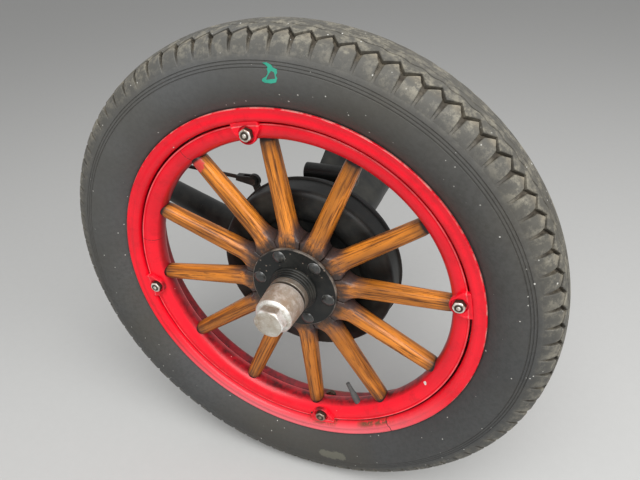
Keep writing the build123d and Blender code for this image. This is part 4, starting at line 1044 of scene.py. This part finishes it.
class WHEEL_OT_hub(bpy.types.Operator):
    """Hub plate with its bright edge, carriage-bolt heads, ribbed collar and hexagonal cap"""

    bl_idname = "wheel.hub"
    bl_label = "Hub"

    def execute(self, context):
        hub = context.scene.wheel_hub
        self.plate(hub)
        self.bolt_heads(hub)
        self.collar(hub)
        self.cap(hub)
        return {"FINISHED"}

    def plate(self, hub):
        """Makes the face plate with its rolled edge."""
        face, bore, edge = PLATE_FACE, 0.0373, PLATE_RADIUS
        shape = Shape()
        shape.turned(joined(
            [(PLATE_BACK, bore), (face + 0.0004, bore), (face + 0.0004, edge - 0.0036)],
            arc((face + 0.0003, edge - 0.0030), (face, edge - 0.0016), (face + 0.0010, edge), 6),
            [(PLATE_BACK, edge)],
        ), SMALL_ROUND)
        make("hub_face_plate", shape, "wheel", plate_finish(hub), ("hub_plate",))

    def bolt_heads(self, hub):
        """Makes the round bolt heads, worn at their edges, and their shanks."""
        ball, rise, radius = 0.0145, 0.0042, hub.bolt_radius
        shares = (1.0, 0.97, 0.90, 0.78, 0.62, 0.42, 0.20, 0.04)
        centre = PLATE_FACE - rise + ball
        head = [(PLATE_FACE + 0.0004, radius)]
        head += [(centre - math.sqrt(ball ** 2 - (radius * s) ** 2), radius * s) for s in shares]
        marks = spread([BARE, WORN, WORN] + [BARE] * (len(head) - 3), 36)
        shank = [(HUB_BOLT_BACK, HUB_BOLT_SHANK), (PLATE_FACE, HUB_BOLT_SHANK)]
        shape = Shape()
        for turn in HUB_BOLT_TURNS:
            shape.bar(shank, turn, HUB_BOLT_CIRCLE, 20)
            shape.bar(head, turn, HUB_BOLT_CIRCLE, 36, marks=marks)
        make("round_bolt_heads", shape, "wheel", bolt_finish(), ("hub_bolts",), sharp=42.0,
             mark="wear")

    def collar(self, hub):
        """Makes the collar, stepped down towards the cap in four ribs."""
        ribs, bore = 4, 0.0296
        rib = (PLATE_FACE - CAP_ROOT) / ribs
        section = [(PLATE_FACE, bore)]
        for i in range(ribs):
            r = COLLAR_RADIUS - 0.0016 * i
            w = PLATE_FACE - rib * i
            section += [(w, r - 0.0005), (w - rib * 0.16, r), (w - rib * 0.78, r),
                        (w - rib * 0.98, r - 0.0007)]
        shape = Shape()
        shape.turned(section + [(CAP_ROOT, bore)], 96)
        make("ribbed_collar", shape, "wheel", black_finish(hub, "collar paint", 1.0),
             ("hub_collar",))

    def cap(self, hub):
        """Makes the cap: a hollow barrel with a groove round it, and a hexagon that stands in its end."""
        end = CAP_END + 0.015
        wide = hub.cap_radius
        root = 0.0315
        hexagon, across = 0.0238, 0.042
        # Sections as (station, radius, bright wear, dark groove)
        barrel_rows = (
            (CAP_ROOT, 0.0290, 0, 1),
            (CAP_ROOT, root - 0.0012, 0, 0.7),
            (CAP_ROOT - 0.0008, root - 0.0002, 0, 0.55),
            (CAP_ROOT - 0.0098, root - 0.0004, 0, 0.5),
            (CAP_ROOT - 0.0106, root - 0.0010, 0, 0.8),
            (CAP_ROOT - 0.0112, root - 0.0030, 0, 1),
            (CAP_ROOT - 0.0138, root - 0.0030, 0, 1),
            (CAP_ROOT - 0.0150, root - 0.0012, 0.9, 0.3),
            (CAP_ROOT - 0.0160, root - 0.0006, 1, 0),
            (CAP_ROOT - 0.0172, root - 0.0006, 0.2, 0),
            (end + 0.0046, wide + 0.0001, 0, 0),
            (end + 0.0036, wide - 0.0002, 0.8, 0),
            (end + 0.0024, wide - 0.0012, 0.85, 0),
            (end + 0.0006, wide - 0.0036, 0.85, 0),
            (end, wide - 0.0046, 0.7, 0),
            (end, 0.0150, 0.5, 0),
            (end + 0.0055, 0.0150, 0, 1),
            (end + 0.0055, wide - 0.0026, 0, 1),
        )
        hexagon_rows = (
            (end + 0.0030, hexagon, 0, 0.3),
            (end - 0.0001, hexagon, 0, 0.3),
            (end - 0.0006, hexagon, 0, 0.12),
            (CAP_END + 0.0036, hexagon, 0.1, 0),
            (CAP_END + 0.0024, hexagon - 0.0006, 0.9, 0),
            (CAP_END + 0.0012, hexagon - 0.0017, 1, 0),
            (CAP_END + 0.0003, hexagon - 0.0027, 1, 0),
            (CAP_END, hexagon - 0.0035, 0.2, 0),
        )
        # Wear and dirt of the six flats, from the first corner on
        flats = ((1.0, 0.0), (0.0, 0.35), (0.3, 0.2), (0.2, 0.1), (0.4, 0.0), (0.5, 0.0))
        marks = []
        for number, row in enumerate(hexagon_rows):
            sides = flats if 0 < number < 4 else ((0.0, 0.0),) * 6
            marks.append([(max(row[2], wear), max(row[3], dirt), 0.0) for wear, dirt in sides
                          for _ in range(SIX_SIDED // 6)])
        shape = Shape()
        shape.turned([row[:2] for row in barrel_rows], 96, [(*row[2:], 0.0) for row in barrel_rows])
        shape.bar([row[:2] for row in hexagon_rows], 0.0, 0.0, SIX_SIDED, HEXAGON_TURN, across, marks)
        make("hexagon_cap", shape, "wheel", steel_finish(hub), ("hub_cap",), sharp=28.0,
             mark="wear")


# Rings of points of a clamp plate from its hole outward, as radius or inset from the outline, and station
POCKET = 0.0115
CLAMP_PLATE_RINGS = (
    ("radius", 0.0050, LUG_BACK),
    ("radius", 0.0050, POCKET_FLOOR),
    ("radius", POCKET - 0.0012, POCKET_FLOOR),
    ("radius", POCKET - 0.0002, POCKET_FLOOR - 0.0012),
    ("radius", POCKET, LUG_FRONT + 0.0017),
    ("radius", POCKET + 0.0005, LUG_FRONT + 0.0011),
    ("inset", 0.0046, LUG_FRONT + 0.0011),
    ("inset", 0.0038, LUG_FRONT + 0.0001),
    ("inset", 0.0010, LUG_FRONT),
    ("inset", 0.0003, LUG_FRONT + 0.0004),
    ("inset", 0.0, LUG_FRONT + 0.0012),
    ("inset", 0.0, (LUG_FRONT + LUG_BACK) / 2),
    ("inset", 0.0, LUG_BACK),
)


def clamp_outline(degrees, station):
    """Distance from the nut to a clamp plate's outline: a round ear, and a foot along the rim's corner."""
    ear, half, neck, foot = 0.014, 0.0205, 0.004, 0.009
    c, s = math.cos(math.radians(degrees)), abs(math.sin(math.radians(degrees)))
    corner_w, corner_r, corner = RIM_CORNER
    deep = min(corner, max(0.0, corner_w - station))
    reach = corner_r - math.sqrt(corner ** 2 - deep ** 2) - 0.0001
    limits = [math.sqrt(reach ** 2 - (CLAMP_CIRCLE * s) ** 2) - CLAMP_CIRCLE * c]
    if s > 0.001:
        limits.append(half / s)
    slope = foot * s - (half - ear) * c
    if slope > 0.0:
        limits.append((foot * ear + (half - ear) * neck) / slope)
    if c < 0.0:
        limits.append(neck / -c)
    return max(ear, min(limits))


def add_clamp_plate(shape, turn):
    """Adds one clamp plate with a pocket for its nut."""
    out_way, side_way = ways(turn)
    corners = (50.8, 76.3, 105.9)
    angles = sorted({6.0 * i for i in range(60)} | set(corners) | {360.0 - c for c in corners})
    rows = []
    for kind, amount, station in CLAMP_PLATE_RINGS:
        row = []
        for degrees in angles:
            s = amount
            if kind == "inset":
                s = max(clamp_outline(degrees, station) - amount, POCKET + 0.0012 - amount * 0.1)
            t = math.radians(degrees)
            row.append(out_way * (CLAMP_CIRCLE + s * math.cos(t)) + side_way * (s * math.sin(t))
                       + inboard(station))
        rows.append(row)
    shape.grid(rows, closed=True, looped=True)


def add_clamp_nut(shape, turn):
    """Adds one clamp nut, chamfered and drilled in front."""
    face = LUG_NUT_FRONT
    section = [(POCKET_FLOOR, NUT_CORNER), (face + 0.0030, NUT_CORNER), (face + 0.0018, 0.0090),
               (face + 0.0008, 0.0084), (face + 0.0001, 0.0076), (face, 0.0068), (face, 0.0053),
               (face + 0.0010, 0.0049)]
    # Sides and chamfer are marked; the drilled face is left unmarked and takes the painted pocket shadow
    marks = spread([WORN] * 6 + [BARE] * 2, SIX_SIDED)
    shape.bar(section, turn, CLAMP_CIRCLE, SIX_SIDED, turn, NUT_FLATS, marks)


def add_clamp_bolt(shape, turn):
    """Adds one clamp bolt: its head behind the felloe and its threaded end in front of the nut."""
    head = [(FELLOE_BACK + 0.006, 0.0084), (FELLOE_BACK + 0.005, NUT_CORNER), (FELLOE_BACK, NUT_CORNER)]
    pitch, root = 0.0010, CLAMP_SHANK - 0.0004
    section = [(FELLOE_BACK, CLAMP_SHANK), (0.0, CLAMP_SHANK)]
    w = LUG_NUT_FRONT + 0.0014
    while w > LUG_BOLT_END + pitch:
        section += [(w, CLAMP_SHANK), (w - pitch * 0.4, root), (w - pitch * 0.8, CLAMP_SHANK)]
        w -= pitch
    section += [(LUG_BOLT_END + 0.0009, root), (LUG_BOLT_END + 0.0006, 0.0031), (LUG_BOLT_END, 0.0026)]
    # Only the tip is marked, for its painted highlight
    marks = spread([BARE] * (len(section) - 1) + [WORN], BAR_ROUND)
    shape.bar(head, turn, CLAMP_CIRCLE, SIX_SIDED, turn, NUT_FLATS)
    shape.bar(section, turn, CLAMP_CIRCLE, BAR_ROUND, marks=marks)


def add_valve(shape):
    """Adds the valve: rubber body, neck and cap, out through rim and felloe."""
    low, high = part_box("valve_stem")
    tip = math.hypot((low.x + high.x) / 2, (low.z + high.z) / 2) - 0.0345
    out_way, side_way = ways(VALVE_TURN)
    station = (low.y + high.y) / 2
    section = ((0.0, 0.0020), (0.0004, 0.0033), (0.0060, 0.0035), (0.0064, 0.0029), (0.0074, 0.0029),
               (0.0080, 0.0034), (0.0160, 0.0040), (0.0200, 0.0044), (0.0240, 0.0053), (0.0275, 0.0055),
               (0.0690, 0.0055))
    turns = [math.tau * j / BAR_ROUND for j in range(BAR_ROUND)]
    rows = []
    for along, r in section:
        rows.append([out_way * (tip + along) + side_way * (r * math.cos(t))
                     + Vector((0, station + r * math.sin(t), 0)) for t in turns])
    shape.tube(rows)


def valve_finish():
    """Dusty black rubber."""
    f = Finish("valve rubber", roughness=0.55)
    dust = f.noise(90.0, 4.0)
    return f.finished(f.blend(dust, (0.035, 0.037, 0.038), (0.10, 0.10, 0.095)), dust, 0.0002, 0.3)


class WHEEL_OT_clamps(bpy.types.Operator):
    """Clamp plates, their nuts and bolts, and the valve"""

    bl_idname = "wheel.clamps"
    bl_label = "Clamps and valve"

    def execute(self, context):
        plates, nuts, bolts, valve = Shape(), Shape(), Shape(), Shape()
        for turn in LUG_TURNS:
            add_clamp_plate(plates, turn)
            add_clamp_nut(nuts, turn)
            add_clamp_bolt(bolts, turn)
        add_valve(valve)
        paint = bpy.data.materials["red paint"]
        steel = nut_finish()
        make("clamp_plates", plates, "wheel", paint, ("rim_lugs",), sharp=44.0)
        make("clamp_nuts", nuts, "wheel", steel, ("lug_nuts",), sharp=26.0, mark="wear")
        make("clamp_bolts", bolts, "wheel", steel, ("lug_bolts",), sharp=45.0, mark="wear")
        make("rubber_valve", valve, "wheel", valve_finish(), ("valve_stem",))
        return {"FINISHED"}


class WHEEL_OT_drum(bpy.types.Operator):
    """Pressed brake drum with a rounded face, a step and a band"""

    bl_idname = "wheel.drum"
    bl_label = "Brake drum"

    def execute(self, context):
        hub = context.scene.wheel_hub
        face, radius, lip = DRUM_FRONT, hub.drum_radius, DRUM_LIP_RADIUS
        web, bore = face + 0.006, 0.0301
        gauge = 0.0035
        shape = Shape()
        shape.turned(joined(
            [(web, bore), (web, 0.0925)],
            arc((web - 0.0003, 0.0935), (face + 0.0028, 0.0975), (face + 0.0010, 0.1035), 6),
            arc((face + 0.0006, 0.1060), (face, 0.1160), (face + 0.0016, 0.1290), 8),
            arc((face + 0.0022, 0.1320), (face + 0.0055, 0.1405), (face + 0.0115, radius), 8),
            [(DRUM_BACK - 0.004, radius), (DRUM_BACK - 0.0034, lip - 0.0008), (DRUM_BACK - 0.0026, lip)],
            [(DRUM_BACK, lip), (DRUM_BACK, radius - gauge), (face + 0.0125, radius - gauge)],
            [(face + 0.0070, 0.1335), (web + gauge, 0.0960), (web + gauge, bore)],
        ), SMALL_ROUND)
        make("pressed_drum", shape, "wheel", black_finish(hub, "drum paint", 0.75),
             ("brake_drum",), sharp=40.0)
        return {"FINISHED"}


class WHEEL_OT_axle_end(bpy.types.Operator):
    """Finishes of the housing, spring end, brake gear and rods, which keep their built shapes"""

    bl_idname = "wheel.axle_end"
    bl_label = "Axle end"
    painted = ("hub_shell", "backing_plate", "axle_housing", "spring_perch", "spring_shackle",
               "spring_leaves", "brake_lever", "brake_clevis", "radius_rod")
    oily = ("axle_shaft", "hub_nuts", "outer_bearing", "plate_bolts", "plate_nuts", "shackle_pins",
            "brake_camshaft", "clevis_pin", "brake_rod", "radius_rod_bolt")

    def execute(self, context):
        hub = context.scene.wheel_hub
        black, iron = black_finish(hub, "axle paint", 0.9), iron_finish(hub)
        for names, finish in ((self.painted, black), (self.oily, iron)):
            for name in names:
                for material_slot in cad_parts[name].material_slots:
                    material_slot.material = finish
        return {"FINISHED"}


# Outline of the smear on the sidewall as (turn, radius), clockwise from its hook
SMEAR = (
    (89.2, 0.3432), (88.3, 0.3439), (87.4, 0.3419), (86.9, 0.3389), (86.1, 0.3375), (86.0, 0.3337),
    (86.3, 0.3309), (86.0, 0.3275), (86.3, 0.3227), (87.4, 0.3207), (88.9, 0.3209), (89.5, 0.3229),
    (89.3, 0.3257), (88.5, 0.3282), (88.1, 0.3309), (88.0, 0.3342), (88.2, 0.3367), (88.0, 0.3392),
    (88.6, 0.3415),
)


class WHEEL_OT_marks(bpy.types.Operator):
    """Green smear on the tyre's sidewall"""

    bl_idname = "wheel.marks"
    bl_label = "Marks"

    def execute(self, context):
        shape = Shape()
        depths = (-0.0004, 0.0006)
        shape.tube([[self.on_wall(turn, radius, depth) for turn, radius in SMEAR] for depth in depths])
        finish = smear_finish(context.scene.wheel_tyre)
        make("paint_smear", shape, "wheel", finish, sharp=60.0)
        return {"FINISHED"}

    def on_wall(self, turn, radius, depth):
        """Point at a turn and radius, a depth below the outer sidewall."""
        w, r = on_tyre(run_at_radius(radius), depth)
        return at(turn, r, w)


class WHEEL_OT_stage(bpy.types.Operator):
    """Pale floor, soft lamps, world and the camera"""

    bl_idname = "wheel.stage"
    bl_label = "Stage"

    def execute(self, context):
        stage = context.scene.wheel_stage
        self.floor(stage)
        self.lamp("sky_lamp", stage.key, 2.6, (0.7, -2.0, 2.4), (0.0, -0.4, 0.0))
        self.lamp("side_lamp", stage.side, 1.6, (2.4, -1.1, 1.5), (0.0, -0.45, 0.0))
        self.world(stage)
        self.camera(stage)
        context.scene.view_settings.view_transform = "Standard"
        return {"FINISHED"}

    def floor(self, stage):
        """Adds the floor on which the tyre stands."""
        half = 20.0
        mesh = bpy.data.meshes.new("floor")
        corners = [(x * half, y * half, -TYRE_RADIUS) for x, y in ((-1, -1), (1, -1), (1, 1), (-1, 1))]
        mesh.from_pydata(corners, [], [(0, 1, 2, 3)])
        floor = bpy.data.objects.new("floor", mesh)
        bpy.context.scene.collection.objects.link(floor)
        f = Finish("pale floor", roughness=0.9)
        f.set("Base Color", f.blend(f.noise(60.0, 6.0, 0.7), stage.floor, shade(stage.floor, 0.94)))
        mesh.materials.append(f.material)

    def lamp(self, name, power, size, place, target):
        """Adds one square soft lamp that faces a target."""
        data = bpy.data.lights.new(name, "AREA")
        data.energy = power
        data.size = size
        obj = bpy.data.objects.new(name, data)
        obj.location = place
        obj.rotation_euler = (Vector(target) - Vector(place)).to_track_quat("-Z", "Y").to_euler()
        bpy.context.scene.collection.objects.link(obj)

    def world(self, stage):
        """World that is pale to the camera and in mirrors, and lights the object more softly."""
        world = bpy.data.worlds.new("studio")
        bpy.context.scene.world = world
        world.use_nodes = True
        nodes, links = world.node_tree.nodes, world.node_tree.links
        nodes.clear()
        lit, seen = nodes.new("ShaderNodeBackground"), nodes.new("ShaderNodeBackground")
        for background in (lit, seen):
            background.inputs["Color"].default_value = (1.0, 1.0, 1.0, 1.0)
        lit.inputs["Strength"].default_value = stage.air
        rays = nodes.new("ShaderNodeLightPath").outputs
        either = nodes.new("ShaderNodeMath")
        either.operation = "MAXIMUM"
        pale = nodes.new("ShaderNodeMapRange")
        pale.inputs["To Min"].default_value = 0.60
        pale.inputs["To Max"].default_value = 0.86
        mix = nodes.new("ShaderNodeMixShader")
        out = nodes.new("ShaderNodeOutputWorld")
        for source, target in (
                (rays["Is Camera Ray"], either.inputs[0]),
                (rays["Is Glossy Ray"], either.inputs[1]),
                (rays["Is Camera Ray"], pale.inputs["Value"]),
                (pale.outputs["Result"], seen.inputs["Strength"]),
                (either.outputs[0], mix.inputs[0]),
                (lit.outputs[0], mix.inputs[1]),
                (seen.outputs[0], mix.inputs[2]),
                (mix.outputs[0], out.inputs[0])):
            links.new(source, target)

    def camera(self, stage):
        """Camera at the place and angles from which the wheel is seen."""
        a, e, roll = stage.azimuth, stage.elevation, stage.roll
        back = Vector((math.sin(a) * math.cos(e), -math.cos(a) * math.cos(e), math.sin(e)))
        level = Vector((math.cos(a), math.sin(a), 0.0))
        steep = back.cross(level)
        right = level * math.cos(roll) + steep * math.sin(roll)
        up = back.cross(right)
        data = bpy.data.cameras.new("camera")
        data.lens = stage.lens
        data.sensor_width = 36.0
        data.sensor_fit = "HORIZONTAL"
        obj = bpy.data.objects.new("camera", data)
        bpy.context.scene.collection.objects.link(obj)
        turn = Matrix((right, up, back)).transposed().to_4x4()
        obj.matrix_world = Matrix.Translation(Vector(stage.place)) @ turn
        bpy.context.scene.camera = obj


class WHEEL_PT_panel(bpy.types.Panel):
    """Lists the pieces, with the sizes and colours that can be changed"""

    bl_idname = "WHEEL_PT_panel"
    bl_label = "Wooden-spoked wheel"
    bl_space_type = "VIEW_3D"
    bl_region_type = "UI"
    bl_category = "Wheel"

    def draw(self, context):
        for name in SETTINGS:
            box = self.layout.box()
            box.label(text=name.removeprefix("wheel_").title())
            group = getattr(context.scene, name)
            for key in group.__annotations__:
                box.prop(group, key)
        for operator in OPERATORS:
            self.layout.operator(operator.bl_idname)


SETTINGS = {
    "wheel_tyre": TyreSettings,
    "wheel_wheel": WheelSettings,
    "wheel_hub": HubSettings,
    "wheel_stage": StageSettings,
}
OPERATORS = (
    WHEEL_OT_stage,
    WHEEL_OT_tyre,
    WHEEL_OT_rim,
    WHEEL_OT_spokes,
    WHEEL_OT_hub,
    WHEEL_OT_clamps,
    WHEEL_OT_drum,
    WHEEL_OT_axle_end,
    WHEEL_OT_marks,
)


def register():
    for name, group in SETTINGS.items():
        bpy.utils.register_class(group)
        setattr(bpy.types.Scene, name, PointerProperty(type=group))
    for operator in OPERATORS:
        bpy.utils.register_class(operator)
    bpy.utils.register_class(WHEEL_PT_panel)


def unregister():
    bpy.utils.unregister_class(WHEEL_PT_panel)
    for operator in reversed(OPERATORS):
        bpy.utils.unregister_class(operator)
    for name, group in SETTINGS.items():
        delattr(bpy.types.Scene, name)
        bpy.utils.unregister_class(group)


def main():
    register()
    bpy.ops.wheel.stage()
    bpy.ops.wheel.tyre()
    bpy.ops.wheel.rim()
    bpy.ops.wheel.spokes()
    bpy.ops.wheel.hub()
    bpy.ops.wheel.clamps()
    bpy.ops.wheel.drum()
    bpy.ops.wheel.axle_end()
    bpy.ops.wheel.marks()


if __name__ == "__main__":
    main()
